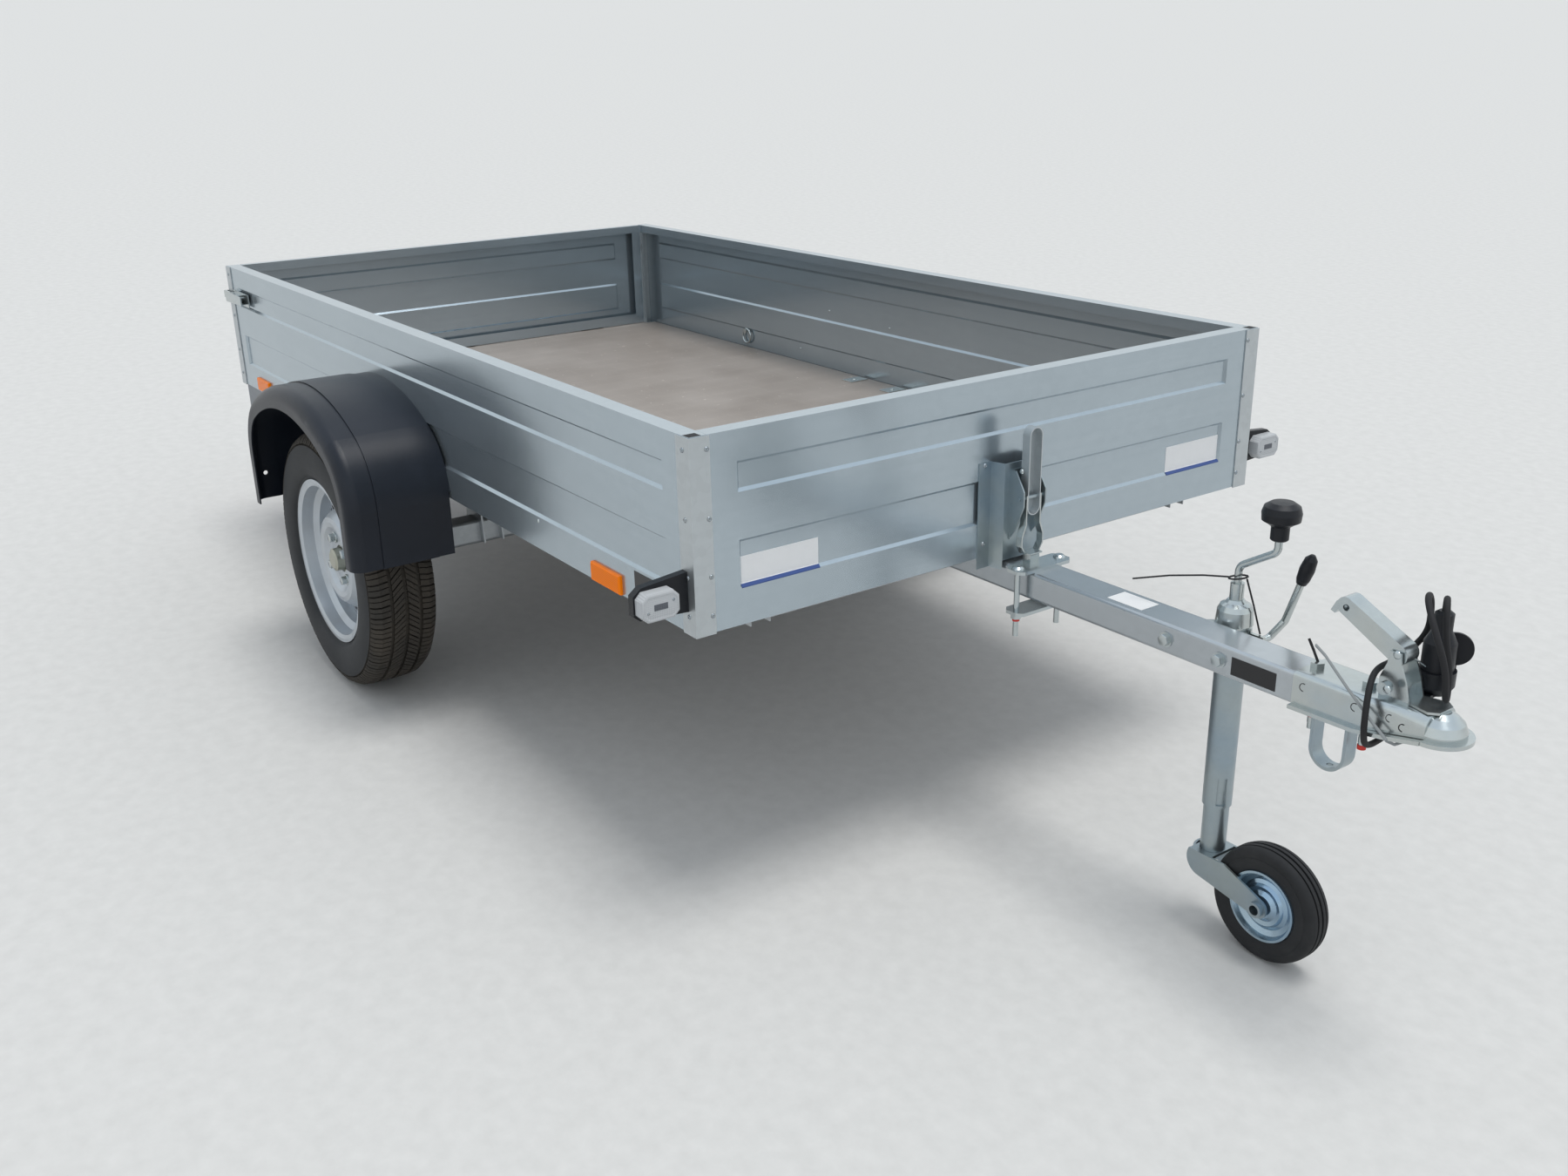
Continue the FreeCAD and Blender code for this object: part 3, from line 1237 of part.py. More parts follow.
def jockey_fork():
    """Pressed fork: two tapering arms from a wrap round the leg's foot, with the hollow axle."""
    t = FORK_T
    x = JOCKEY_X + 2
    y = JOCKEY_Y
    top = LEG_END - SEAT
    side = FORK_IN + t
    root = (x + 2, LEG_END - 14)
    hub = (JW_X, JW_Z)
    arms = [link(root, hub, FORK_ROOT_R, FORK_TIP_R, a, a + t) for a in (y - side, y + FORK_IN)]
    back = tube((x, y, LEG_END - 40), (x, y, top), side, FORK_IN)
    back = back.cut(box(x, x + 60, y - 100, y + 100, LEG_END - 60, LEG_END + 10))
    roof = box(JOCKEY_X - 22, JOCKEY_X + 22, y - FORK_IN - 1, y + FORK_IN + 1, LEG_END - 5, top)
    over = box(x - 60, x + 60, y - 100, y + 100, top, LEG_END + 40)
    end = side + AXLE_END_L
    axle = rod((JW_X, y - end, JW_Z), (JW_X, y + end, JW_Z), JW_AXLE_R)
    ends = [rod((JW_X, y + s * side, JW_Z), (JW_X, y + s * end, JW_Z), AXLE_END_R) for s in (-1, 1)]
    bore = rod((JW_X, y - end, JW_Z), (JW_X, y + end, JW_Z), AXLE_END_BORE)
    return one(arms + [back, roof, axle] + ends).cut([over, bore])


def jockey_tyre():
    w = JW_W / 2
    r = JW_R
    half = [(w - 3, 62), (w, 80), (w - 2, r - 8), (w - 9, r - 1.5), (w - 17, r)]
    profile = half + [(-s, q) for s, q in reversed(half)]
    return turned(profile, (JW_X, JOCKEY_Y, JW_Z), (0, 1, 0))


def jockey_rim():
    """Two pressed halves: rolled edge, dished disc and hub boss."""
    w = JW_W / 2
    edge = [(w - 3, 61.7), (w, 61), (w, 57), (w - 8, 53)]
    dish = [(w - 12, 44), (w - 9, 38), (w - 4, 34), (w - 6, 27)]
    half = edge + dish + [(w - 1, 20), (w, JW_AXLE_R + PLAY)]
    profile = half + [(-s, q) for s, q in reversed(half)]
    return turned(profile, (JW_X, JOCKEY_Y, JW_Z), (0, 1, 0))


PIECES = [
    side_walls, front_wall, corner_posts, floor_board, floor_frame, tip_cheeks, drawbar, tip_pin,
    axle_beam, axle_saddle, axle_stands, buffers, swing_arms, mudguards, tailgate, gate_leaves,
    gate_hinges, side_latches, lashing_rings, lamp_carrier, rear_lamps, front_lamps, lamp_brackets,
    side_reflectors, front_post, toggle_bracket, toggle_lever, toggle_loop, catch_plates, catch_bolts,
    coupling_body, coupling_bolts, coupling_handle, coupling_yoke, park_strap, plug_holder, plug, cable,
    jockey_clamp, jockey_tube, jockey_head, crank, crank_knob, clamp_lever, lever_grips, jockey_leg,
    jockey_fork, jockey_tyre, jockey_rim,
]


def stand_up(shape):
    """Pitch the trailer nose up about its wheel axis and set it on the floor."""
    standing = shape.copy()
    standing.rotate(V(0, 0, 0), V(0, -1, 0), NOSE_UP)
    standing.translate(V(-AXLE_BACK, 0, TYRE_R))
    return standing


shapes = {make.__name__: make() for make in PIECES}
for word, side in (("left", 1), ("right", -1)):
    shapes["tyre_" + word] = tyre(side)
    shapes["rim_" + word] = rim(side)
    shapes["hub_" + word] = hub(side)

os.makedirs("parts", exist_ok=True)
whole = FreeCAD.BoundBox()
for name, shape in shapes.items():
    placed = stand_up(shape)
    whole.add(placed.BoundBox)
    print(name, len(placed.Solids), placed.isValid(), round(placed.Volume / 1000, 1))
    placed.exportStep("parts/%s.step" % name)
print("nose up", round(NOSE_UP, 4), "degrees")
for word, low, high in (("x", whole.XMin, whole.XMax), ("z", whole.ZMin, whole.ZMax)):
    print(word, round(low, 2), round(high, 2))
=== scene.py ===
"""Looks of a single-axle tipping utility trailer: finishes, tyres, fixings, labels, cable and studio."""
import math

import bpy
from mathutils import Matrix, Vector


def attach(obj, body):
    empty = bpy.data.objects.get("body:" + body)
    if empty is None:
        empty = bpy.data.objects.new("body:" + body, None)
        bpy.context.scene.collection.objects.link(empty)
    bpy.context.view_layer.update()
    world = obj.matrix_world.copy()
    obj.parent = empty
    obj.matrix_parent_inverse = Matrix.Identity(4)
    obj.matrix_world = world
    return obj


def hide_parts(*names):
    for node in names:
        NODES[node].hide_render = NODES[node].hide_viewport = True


bl_info = {
    "name": "Utility trailer looks",
    "version": (1, 0),
    "blender": (4, 5, 0),
    "location": "3D View > Sidebar > Trailer",
    "description": "Finishes and small parts of a galvanised tipping trailer",
    "category": "Object",
}

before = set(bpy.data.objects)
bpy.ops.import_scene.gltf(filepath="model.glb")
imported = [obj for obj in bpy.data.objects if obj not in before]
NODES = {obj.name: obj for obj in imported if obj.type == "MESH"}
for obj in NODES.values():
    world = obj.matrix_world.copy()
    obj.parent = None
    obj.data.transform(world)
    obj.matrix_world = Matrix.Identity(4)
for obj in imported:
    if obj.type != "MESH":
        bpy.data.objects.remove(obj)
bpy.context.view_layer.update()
MM = 0.001

# Stance. The level frame has its origin in the middle of the wheel axis, and x runs along the drawbar.
# Radius of the road tyres, the jockey wheel's axle (x, z) and its radius
TYRE_R = 0.2835
JOCKEY_AXLE = (1.818, -0.283)
JOCKEY_R = 0.100
# How far the wheel axis lies behind the row's origin
AXLE_BACK = 0.5054
# Slope from axle to axle, and the angle that sets all three tyres on the floor
AXLE_FALL = math.atan2(-JOCKEY_AXLE[1], JOCKEY_AXLE[0])
NOSE_UP = AXLE_FALL + math.asin((JOCKEY_R - TYRE_R) / math.hypot(*JOCKEY_AXLE))
LEVEL = Matrix.Translation((-AXLE_BACK, 0, TYRE_R)) @ Matrix.Rotation(-NOSE_UP, 4, "Y")

# Sizes in the level frame, in metres, that the pieces below are placed from.
# Tub: its ends, half its width over the corner posts and over the walls, its rim and its floor
FRONT = 1.2605
REAR = -1.085
HALF = 0.6555
WALL_OUT = 0.6535
TOP = 0.5055
FLOOR_TOP = 0.1995
# Drawbar: its top and half its width
BAR_TOP = 0.1813
BAR_HALF = 0.035
# Wheels: the middle of a road tyre and of the jockey wheel, to the left of the drawbar's middle
TRACK = 0.755
JOCKEY_Y = 0.075
# Coupling: the ball's centre line, half its width and its two bolts
BALL_X = 2.098
COUPLING_HALF = 0.0397
COUPLING_BOLTS = (1.903, 1.988)

# Points nearer to each other than this are one point, and a smaller turn, in radians, is none
SAME = 1e-5
STRAIGHT = 1e-4


def level(x, y, z):
    """Point of the level frame, in the row frame."""
    return LEVEL @ Vector((x, y, z))


def length_of(name, description, default):
    return bpy.props.FloatProperty(name=name, description=description, default=default, unit="LENGTH")


def angle_of(name, description, degrees):
    default = math.radians(degrees)
    return bpy.props.FloatProperty(name=name, description=description, default=default, subtype="ANGLE")


def colour_of(name, description, default):
    return bpy.props.FloatVectorProperty(name=name, description=description, default=default,
                                         subtype="COLOR", min=0.0, max=1.0)


# Materials

class TrailerColours(bpy.types.PropertyGroup):
    walls: colour_of("Walls", "Tint of the pressed walls' zinc", (0.465, 0.54, 0.59))
    wheels: colour_of("Wheels", "Enamel of the road wheels", (0.52, 0.56, 0.60))
    # The mudguards' near black is tinted blue: a painted reflection of the sky
    mudguards: colour_of("Mudguards", "Plastic of the mudguards", (0.006, 0.009, 0.016))
    reflectors: colour_of("Reflectors", "Amber of the side reflectors", (1.0, 0.22, 0.0))


def new_material(name):
    """Node tree, shader and object coordinates of a new finish, named apart from the frame's materials."""
    material = bpy.data.materials.new(f"finish_{name}")
    material.use_nodes = True
    tree = material.node_tree
    return tree, tree.nodes["Principled BSDF"], coordinates(tree)


def finish_of(name):
    return bpy.data.materials[f"finish_{name}"]


def add_node(tree, kind, **settings):
    """Node whose inputs and properties are set by name."""
    made = tree.nodes.new(kind)
    for key, value in settings.items():
        if key in made.inputs:
            feed(made, key, value)
        else:
            setattr(made, key, value)
    return made


def feed(node, name, value):
    """Sets an input from another node's output or to a value; colours come without their alpha."""
    target = node.inputs[name]
    if isinstance(value, bpy.types.NodeSocket):
        node.id_data.links.new(value, target)
    elif target.type == "RGBA":
        target.default_value = (*value, 1)
    else:
        target.default_value = value


def coordinates(tree, scale=(1, 1, 1), turn=(0, 0, 0)):
    """Object coordinates, stretched and turned."""
    source = add_node(tree, "ShaderNodeTexCoord").outputs["Object"]
    made = add_node(tree, "ShaderNodeMapping", Vector=source, Scale=scale, Rotation=turn)
    return made.outputs["Vector"]


def noise(tree, vector, scale, detail=4.0, roughness=0.55):
    made = add_node(tree, "ShaderNodeTexNoise",
                    Vector=vector, Scale=scale, Detail=detail, Roughness=roughness)
    return made.outputs["Fac"]


def cells(tree, vector, scale, **settings):
    """Outputs of a cell pattern."""
    return add_node(tree, "ShaderNodeTexVoronoi", Vector=vector, Scale=scale, **settings).outputs


def ramp(tree, fac, stops):
    """Colour ramp; stops are (place, colour or grey)."""
    made = add_node(tree, "ShaderNodeValToRGB", Fac=fac)
    elements = made.color_ramp.elements
    while len(elements) < len(stops):
        elements.new(0.5)
    for element, (place, value) in zip(elements, stops):
        element.position = place
        element.color = (*value, 1) if isinstance(value, tuple) else (value, value, value, 1)
    return made.outputs["Color"]


def mix(tree, kind, fac, a, b):
    """Mix of two colours by a socket or a number."""
    made = add_node(tree, "ShaderNodeMix", data_type="RGBA", blend_type=kind)
    for place, value in ((0, fac), (6, a), (7, b)):
        feed(made, place, value)
    return made.outputs[2]


def add_bump(tree, shader, height, strength, distance):
    made = add_node(tree, "ShaderNodeBump", Height=height, Strength=strength, Distance=distance)
    feed(shader, "Normal", made.outputs["Normal"])


def roughen(tree, shader, fac, low, high):
    """Roughness that runs from low to high as fac runs from 0 to 1."""
    made = add_node(tree, "ShaderNodeMapRange", Value=fac)
    feed(made, "To Min", low)
    feed(made, "To Max", high)
    feed(shader, "Roughness", made.outputs["Result"])


def sheet_zinc(name, tint, rough, spangle=0.03):
    """Zinc-coated sheet: smooth, with a faint spangle, cloudy tone and rolling streaks."""
    tree, shader, plain = new_material(name)
    clouds = noise(tree, plain, 2.5, 4)
    streaks = noise(tree, coordinates(tree, (1.5, 1.5, 70)), 1.5, 3)
    dark = tuple(c * 0.90 for c in tint)
    base = mix(tree, "MIX", clouds, dark, tint)
    base = mix(tree, "MIX", 0.05, base, ramp(tree, streaks, [(0.3, 0.40), (0.7, 0.80)]))
    flakes = ramp(tree, cells(tree, plain, 70.0)["Color"], [(0.2, 1 - spangle), (0.8, 1.0)])
    feed(shader, "Base Color", mix(tree, "MULTIPLY", 1.0, base, flakes))
    feed(shader, "Metallic", 0.80)
    handled = noise(tree, plain, 7, 5)
    roughen(tree, shader, handled, rough - 0.05, rough + 0.05)


def bright_zinc(name, tint, rough, blue=0.35):
    """Bright plated zinc: smooth, with a pale blue and straw sheen that shifts in patches."""
    tree, shader, plain = new_material(name)
    patches = noise(tree, plain, 9, 3)
    straw = tuple(c * 1.05 for c in (tint[0] * 1.06, tint[1], tint[2] * 0.90))
    cool = (tint[0] * 0.72, tint[1] * 0.84, tint[2] * 0.98)
    base = mix(tree, "MIX", blue, tint, ramp(tree, patches, [(0.3, cool), (0.5, tint), (0.7, straw)]))
    fine = noise(tree, plain, 70, 3)
    shade = ramp(tree, fine, [(0.3, 0.82), (0.7, 1.0)])
    feed(shader, "Base Color", mix(tree, "MULTIPLY", 0.35, base, shade))
    feed(shader, "Metallic", 0.90)
    roughen(tree, shader, fine, rough - 0.04, rough + 0.06)
    add_bump(tree, shader, fine, 0.04, 0.0002)


def silver_enamel(tint):
    """Silver wheel enamel with a soft orange-peel skin and grey road film."""
    tree, shader, plain = new_material("wheel_enamel")
    film = noise(tree, plain, 14, 5)
    dusty = ramp(tree, film, [(0.45, 0.0), (0.75, 0.35)])
    base = mix(tree, "MIX", dusty, tint, (0.38, 0.38, 0.37))
    feed(shader, "Base Color", base)
    feed(shader, "Metallic", 0.55)
    roughen(tree, shader, film, 0.28, 0.42)
    add_bump(tree, shader, noise(tree, plain, 420, 2), 0.08, 0.0003)


def rubber(name, dark, dusty, dust_from, dust_to):
    """Rubber with dust caught in its low places."""
    tree, shader, plain = new_material(name)
    dust = noise(tree, plain, 11, 6)
    grain = noise(tree, plain, 300, 3)
    base = mix(tree, "MIX", ramp(tree, dust, [(dust_from, 0.0), (dust_to, 0.8)]), dark, dusty)
    base = mix(tree, "MULTIPLY", 0.4, base, ramp(tree, grain, [(0.3, 0.6), (0.7, 1.0)]))
    feed(shader, "Base Color", base)
    roughen(tree, shader, dust, 0.62, 0.88)
    add_bump(tree, shader, grain, 0.25, 0.0006)


def grained_plastic(name, dark, rough, grain_scale=900.0):
    """Moulded black plastic with a leather-like grain and a dusty bloom."""
    tree, shader, plain = new_material(name)
    bloom = noise(tree, plain, 5, 5)
    pale = tuple(c * 1.9 + 0.007 for c in dark)
    dusty = ramp(tree, bloom, [(0.4, 0.0), (0.8, 0.6)])
    feed(shader, "Base Color", mix(tree, "MIX", dusty, dark, pale))
    feed(shader, "Specular IOR Level", 0.32)
    roughen(tree, shader, bloom, rough - 0.06, rough + 0.10)
    add_bump(tree, shader, cells(tree, plain, grain_scale)["Distance"], 0.35, 0.0004)


def film_plywood():
    """Brown film-faced board: wire-mesh print, scuffs and pale dust."""
    tree, shader, plain = new_material("film_plywood")
    mesh = cells(tree, plain, 260.0, distance="CHEBYCHEV", Randomness=0.15)["Distance"]
    clouds = noise(tree, plain, 4, 6)
    scuffs = noise(tree, coordinates(tree, (3, 40, 3), (0, 0, 0.5)), 2.2, 6, 0.7)
    crumbs = noise(tree, plain, 55, 2)
    base = ramp(tree, clouds, [(0.3, (0.275, 0.235, 0.205)), (0.7, (0.365, 0.325, 0.295))])
    base = mix(tree, "MIX", ramp(tree, scuffs, [(0.56, 0.0), (0.78, 0.35)]), base, (0.46, 0.42, 0.37))
    base = mix(tree, "MULTIPLY", 0.35, base, ramp(tree, mesh, [(0.2, 0.75), (0.5, 1.0)]))
    base = mix(tree, "MIX", ramp(tree, crumbs, [(0.70, 0.0), (0.74, 0.6)]), base, (0.60, 0.56, 0.50))
    feed(shader, "Base Color", base)
    roughen(tree, shader, clouds, 0.32, 0.50)
    add_bump(tree, shader, mesh, 0.3, 0.0005)


def lens(name, colour, glow):
    """Moulded lens with fine prisms over its reflector."""
    tree, shader, plain = new_material(name)
    prisms = cells(tree, plain, 330.0, distance="MANHATTAN", Randomness=0.0)["Distance"]
    shade = ramp(tree, prisms, [(0.1, tuple(c * 0.60 for c in colour)), (0.6, colour)])
    feed(shader, "Base Color", shade)
    feed(shader, "Roughness", 0.16)
    feed(shader, "Specular IOR Level", 0.15)
    feed(shader, "Emission Color", shade)
    feed(shader, "Emission Strength", glow)
    add_bump(tree, shader, prisms, 0.5, 0.0008)


def label_film(name, colour, rough=0.35):
    """Printed film, blank, with faint wrinkles."""
    tree, shader, plain = new_material(name)
    wrinkles = noise(tree, plain, 60, 3)
    shade = ramp(tree, wrinkles, [(0.3, 0.8), (0.7, 1.0)])
    feed(shader, "Base Color", mix(tree, "MULTIPLY", 0.12, colour, shade))
    feed(shader, "Roughness", rough)
    add_bump(tree, shader, wrinkles, 0.08, 0.0005)


def ground_material():
    tree, shader, plain = new_material("floor")
    tone = noise(tree, plain, 30, 6)
    shade = ramp(tree, tone, [(0.3, (0.62, 0.62, 0.61)), (0.7, (0.67, 0.67, 0.66))])
    feed(shader, "Base Color", shade)
    feed(shader, "Roughness", 0.85)
    feed(shader, "Specular IOR Level", 0.2)


def make_finishes(colours):
    """Every finish on the trailer and the studio floor."""
    sheet_zinc("wall_sheet", tuple(colours.walls), 0.22)
    sheet_zinc("post_zinc", (0.55, 0.59, 0.61), 0.40, 0.05)
    sheet_zinc("frame_zinc", (0.44, 0.47, 0.49), 0.38, 0.06)
    # Near black zinc of the lamp carrier under the tub: its dark tone is painted shade
    sheet_zinc("shaded_carrier_zinc", (0.17, 0.19, 0.22), 0.34, 0.06)
    sheet_zinc("bar_zinc", (0.50, 0.54, 0.57), 0.22, 0.04)
    bright_zinc("bright_zinc", (0.53, 0.57, 0.57), 0.20)
    bright_zinc("dull_zinc", (0.36, 0.42, 0.45), 0.32, 0.5)
    # Darker zinc for the rivet heads and lamp screws: its dark tone is painted shade, for the shade round
    # their heads
    bright_zinc("shaded_rivet_zinc", (0.34, 0.37, 0.39), 0.16, 0.3)
    bright_zinc("yellow_zinc", (0.44, 0.44, 0.37), 0.32, 0.25)
    bright_zinc("blue_zinc", (0.38, 0.50, 0.60), 0.18, 0.7)
    silver_enamel(tuple(colours.wheels))
    rubber("tyre_side", (0.018, 0.020, 0.023), (0.065, 0.066, 0.068), 0.35, 0.8)
    rubber("tyre_tread", (0.018, 0.016, 0.013), (0.085, 0.068, 0.050), 0.3, 0.8)
    rubber("jockey_rubber", (0.011, 0.012, 0.014), (0.07, 0.07, 0.07), 0.45, 0.95)
    rubber("soft_black", (0.008, 0.008, 0.010), (0.035, 0.035, 0.035), 0.5, 0.95)
    # The mudguards' blue-black colour holds a painted reflection of the sky
    grained_plastic("guard_plastic", tuple(colours.mudguards), 0.34)
    grained_plastic("black_plastic", (0.005, 0.006, 0.009), 0.34, 1400.0)
    film_plywood()
    lens("clear_lens", (0.52, 0.54, 0.56), 0.0)
    lens("smoke_lens", (0.13, 0.14, 0.16), 0.0)
    # The amber side reflectors glow faintly: painted light, for they are no lamps
    lens("amber_lens", tuple(colours.reflectors), 0.06)
    lens("red_lens", (0.55, 0.015, 0.012), 0.08)
    label_film("white_film", (0.80, 0.81, 0.82))
    label_film("blue_film", (0.03, 0.07, 0.25))
    label_film("black_film", (0.012, 0.012, 0.014), 0.3)
    label_film("lock_paint", (0.62, 0.03, 0.02), 0.5)
    label_film("grey_nylon", (0.25, 0.27, 0.28), 0.4)
    ground_material()


NODE_FINISH = {
    "wall_sheet": ["side_walls", "front_wall", "tailgate"],
    "post_zinc": ["corner_posts", "toggle_lever"],
    "frame_zinc": ["floor_frame", "tip_cheeks", "axle_beam", "axle_saddle", "axle_stands", "swing_arms"],
    "dull_zinc": ["front_post", "toggle_bracket", "jockey_tube", "jockey_leg", "jockey_fork", "park_strap"],
    # The lamp carrier's near black zinc is painted shade
    "shaded_carrier_zinc": ["lamp_carrier"],
    "bar_zinc": ["drawbar"],
    "yellow_zinc": ["hub_left", "hub_right"],
    "bright_zinc": ["tip_pin", "gate_leaves", "gate_hinges", "side_latches",
                    "lashing_rings", "toggle_loop", "catch_plates", "catch_bolts",
                    "coupling_body", "coupling_bolts", "coupling_handle", "coupling_yoke",
                    "jockey_clamp", "jockey_head", "crank", "clamp_lever"],
    "blue_zinc": ["jockey_rim"],
    "wheel_enamel": ["rim_left", "rim_right"],
    "tyre_side": ["tyre_left", "tyre_right"],
    "jockey_rubber": ["jockey_tyre"],
    "soft_black": ["buffers", "cable"],
    "guard_plastic": ["mudguards"],
    "black_plastic": ["plug_holder", "plug", "crank_knob", "lever_grips"],
    "film_plywood": ["floor_board"],
    "amber_lens": ["side_reflectors"],
    "red_lens": ["rear_lamps"],
}


def paint(piece, finish):
    piece.data.materials.clear()
    piece.data.materials.append(finish_of(finish))


class TRAILER_OT_finishes(bpy.types.Operator):
    """Finishes on the solid pieces"""
    bl_idname = "trailer.finishes"
    bl_label = "Finishes"

    def execute(self, context):
        make_finishes(context.scene.trailer_colours)
        for finish, names in NODE_FINISH.items():
            for name in names:
                paint(NODES[name], finish)
        return {"FINISHED"}


# Modelling helpers

def start():
    """Nothing selected, object mode."""
    if bpy.context.object and bpy.context.object.mode != "OBJECT":
        leave()
    bpy.ops.object.select_all(action="DESELECT")


def only(piece):
    """The piece alone selected and active, object mode."""
    start()
    piece.select_set(True)
    bpy.context.view_layer.objects.active = piece


def edit():
    bpy.ops.object.mode_set(mode="EDIT")


def edit_all():
    """Edit mode with everything selected."""
    edit()
    bpy.ops.mesh.select_all(action="SELECT")


def leave():
    bpy.ops.object.mode_set(mode="OBJECT")


def settle(piece, name, finish, body, place=LEVEL):
    """Bakes the piece's place into its mesh, names it, paints it and sets it on its body."""
    piece.matrix_world = place @ piece.matrix_world
    only(piece)
    bpy.ops.object.transform_apply()
    piece.name = name
    piece.data.name = name
    paint(piece, finish)
    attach(piece, body)


def joined(pieces):
    """One object from several."""
    start()
    for piece in pieces:
        piece.select_set(True)
    bpy.context.view_layer.objects.active = pieces[0]
    bpy.ops.object.join()
    return bpy.context.object


def unpick(kind):
    """Sets what is selected, faces or edges, with none of them selected yet."""
    edit()
    bpy.ops.mesh.select_all(action="DESELECT")
    bpy.ops.mesh.select_mode(type=kind)
    leave()


def pick_faces(piece, test):
    """Edit mode with the faces selected that pass the test."""
    unpick("FACE")
    for face in piece.data.polygons:
        face.select = test(face)
    edit()


def pick_edges(piece, test):
    """Edit mode with the edges selected whose two ends pass the test."""
    unpick("EDGE")
    for edge in piece.data.edges:
        edge.select = test(*(piece.data.vertices[v].co for v in edge.vertices))
    edit()


def push(step):
    """Extrudes the selected faces by a step."""
    bpy.ops.mesh.extrude_region_move(TRANSFORM_OT_translate={"value": step})


def close_up():
    """Merges doubles, turns the normals outwards and goes back to object mode."""
    bpy.ops.mesh.select_mode(type="VERT")
    bpy.ops.mesh.select_all(action="SELECT")
    bpy.ops.mesh.remove_doubles(threshold=SAME)
    bpy.ops.mesh.normals_make_consistent(inside=False)
    leave()


def smooth(piece, degrees):
    """Smooth shading across every edge that turns by less than the angle."""
    only(piece)
    bpy.ops.object.shade_smooth_by_angle(angle=math.radians(degrees))


def facing(at, normal, spin=0.0):
    """Placement with +Z along the normal, turned about it by spin."""
    turn = Vector(normal).to_track_quat("Z", "Y").to_matrix().to_4x4()
    return Matrix.Translation(at) @ turn @ Matrix.Rotation(spin, 4, "Z")


def scatter(master, places, name, finish, body):
    """Copies of one modelled piece at (point, normal, spin) of the level frame, joined into one piece."""
    copies = []
    for at, normal, spin in places:
        one = master.copy()
        one.data = master.data.copy()
        bpy.context.collection.objects.link(one)
        one.matrix_world = facing(at, normal, spin)
        copies.append(one)
    bpy.data.objects.remove(master)
    settle(joined(copies), name, finish, body)


def bright_fixings(master, places, name, body):
    scatter(master, places, name, "bright_zinc", body)


def dome(radius, height):
    """Round head standing on its flat face."""
    start()
    bpy.ops.mesh.primitive_uv_sphere_add(segments=20, ring_count=12, radius=radius)
    edit_all()
    bpy.ops.mesh.bisect(plane_co=(0, 0, 0), plane_no=(0, 0, 1), clear_inner=True, use_fill=True)
    bpy.ops.mesh.select_all(action="SELECT")
    bpy.ops.transform.resize(value=(1, 1, height / radius), center_override=(0, 0, 0))
    close_up()
    piece = bpy.context.object
    smooth(piece, 50)
    return piece


def blind_rivet(radius):
    """Domed rivet head with the hollow that its pin leaves."""
    piece = dome(radius, 2.4 * MM)
    edit_all()
    bpy.ops.mesh.bisect(plane_co=(0, 0, 2.1 * MM), plane_no=(0, 0, 1), clear_outer=True, use_fill=True)
    bpy.ops.mesh.inset(thickness=0.3 * MM)
    push((0, 0, -1.2 * MM))
    close_up()
    return piece


def disc(radius, height, base=0.0, sides=32, top_bevel=0.0):
    """Upright cylinder or prism with a bevelled top edge, standing at base."""
    start()
    bpy.ops.mesh.primitive_cylinder_add(vertices=sides, radius=radius, depth=height,
                                        location=(0, 0, base + height / 2))
    piece = bpy.context.object
    bpy.ops.object.transform_apply()
    if top_bevel:
        pick_edges(piece, lambda a, b: min(a.z, b.z) > base + height - SAME)
        bpy.ops.mesh.bevel(offset=top_bevel, segments=2, affect="EDGES")
        close_up()
    smooth(piece, 35)
    return piece


def hex_bolt(across, height, washer_r, washer_t, tip=0.0):
    """Washer, hexagonal head and a short end of thread."""
    head = disc(across / math.sqrt(3), height, washer_t, sides=6, top_bevel=height * 0.12)
    parts = [disc(washer_r, washer_t), head]
    if tip:
        parts.append(disc(across * 0.3, tip, washer_t + height, sides=20, top_bevel=0.8 * MM))
    return joined(parts)


def block(x0, x1, y0, y1, z0, z1, bevel=0.0):
    """Box between its two corners, with bevelled edges."""
    start()
    middle = ((x0 + x1) / 2, (y0 + y1) / 2, (z0 + z1) / 2)
    bpy.ops.mesh.primitive_cube_add(size=1, location=middle, scale=(x1 - x0, y1 - y0, z1 - z0))
    piece = bpy.context.object
    bpy.ops.object.transform_apply()
    if bevel:
        edit_all()
        bpy.ops.mesh.bevel(offset=bevel, segments=2, affect="EDGES")
        leave()
    return piece


def bar_along(points, radius, sides=12):
    """Round bar through the points: a ring pushed on from point to point, closed at both ends."""
    start()
    first = Vector(points[1]) - Vector(points[0])
    bpy.ops.mesh.primitive_circle_add(vertices=sides, radius=radius, fill_type="NGON")
    piece = bpy.context.object
    piece.matrix_world = facing(points[0], first)
    bpy.ops.object.transform_apply()
    edit_all()
    last = first.normalized()
    for i in range(1, len(points)):
        here = Vector(points[i])
        step = here - Vector(points[i - 1])
        push(step)
        ahead = (Vector(points[i + 1]) - here).normalized() if i + 1 < len(points) else step.normalized()
        facing_now = (step.normalized() + ahead).normalized()
        swing = last.rotation_difference(facing_now)
        if swing.angle > STRAIGHT:
            along = swing.axis.to_track_quat("Z", "Y").to_matrix().transposed()
            bpy.ops.transform.rotate(value=-swing.angle, orient_axis="Z", orient_type="GLOBAL",
                                     orient_matrix=along, center_override=here)
        last = facing_now
    close_up()
    smooth(piece, 40)
    return piece


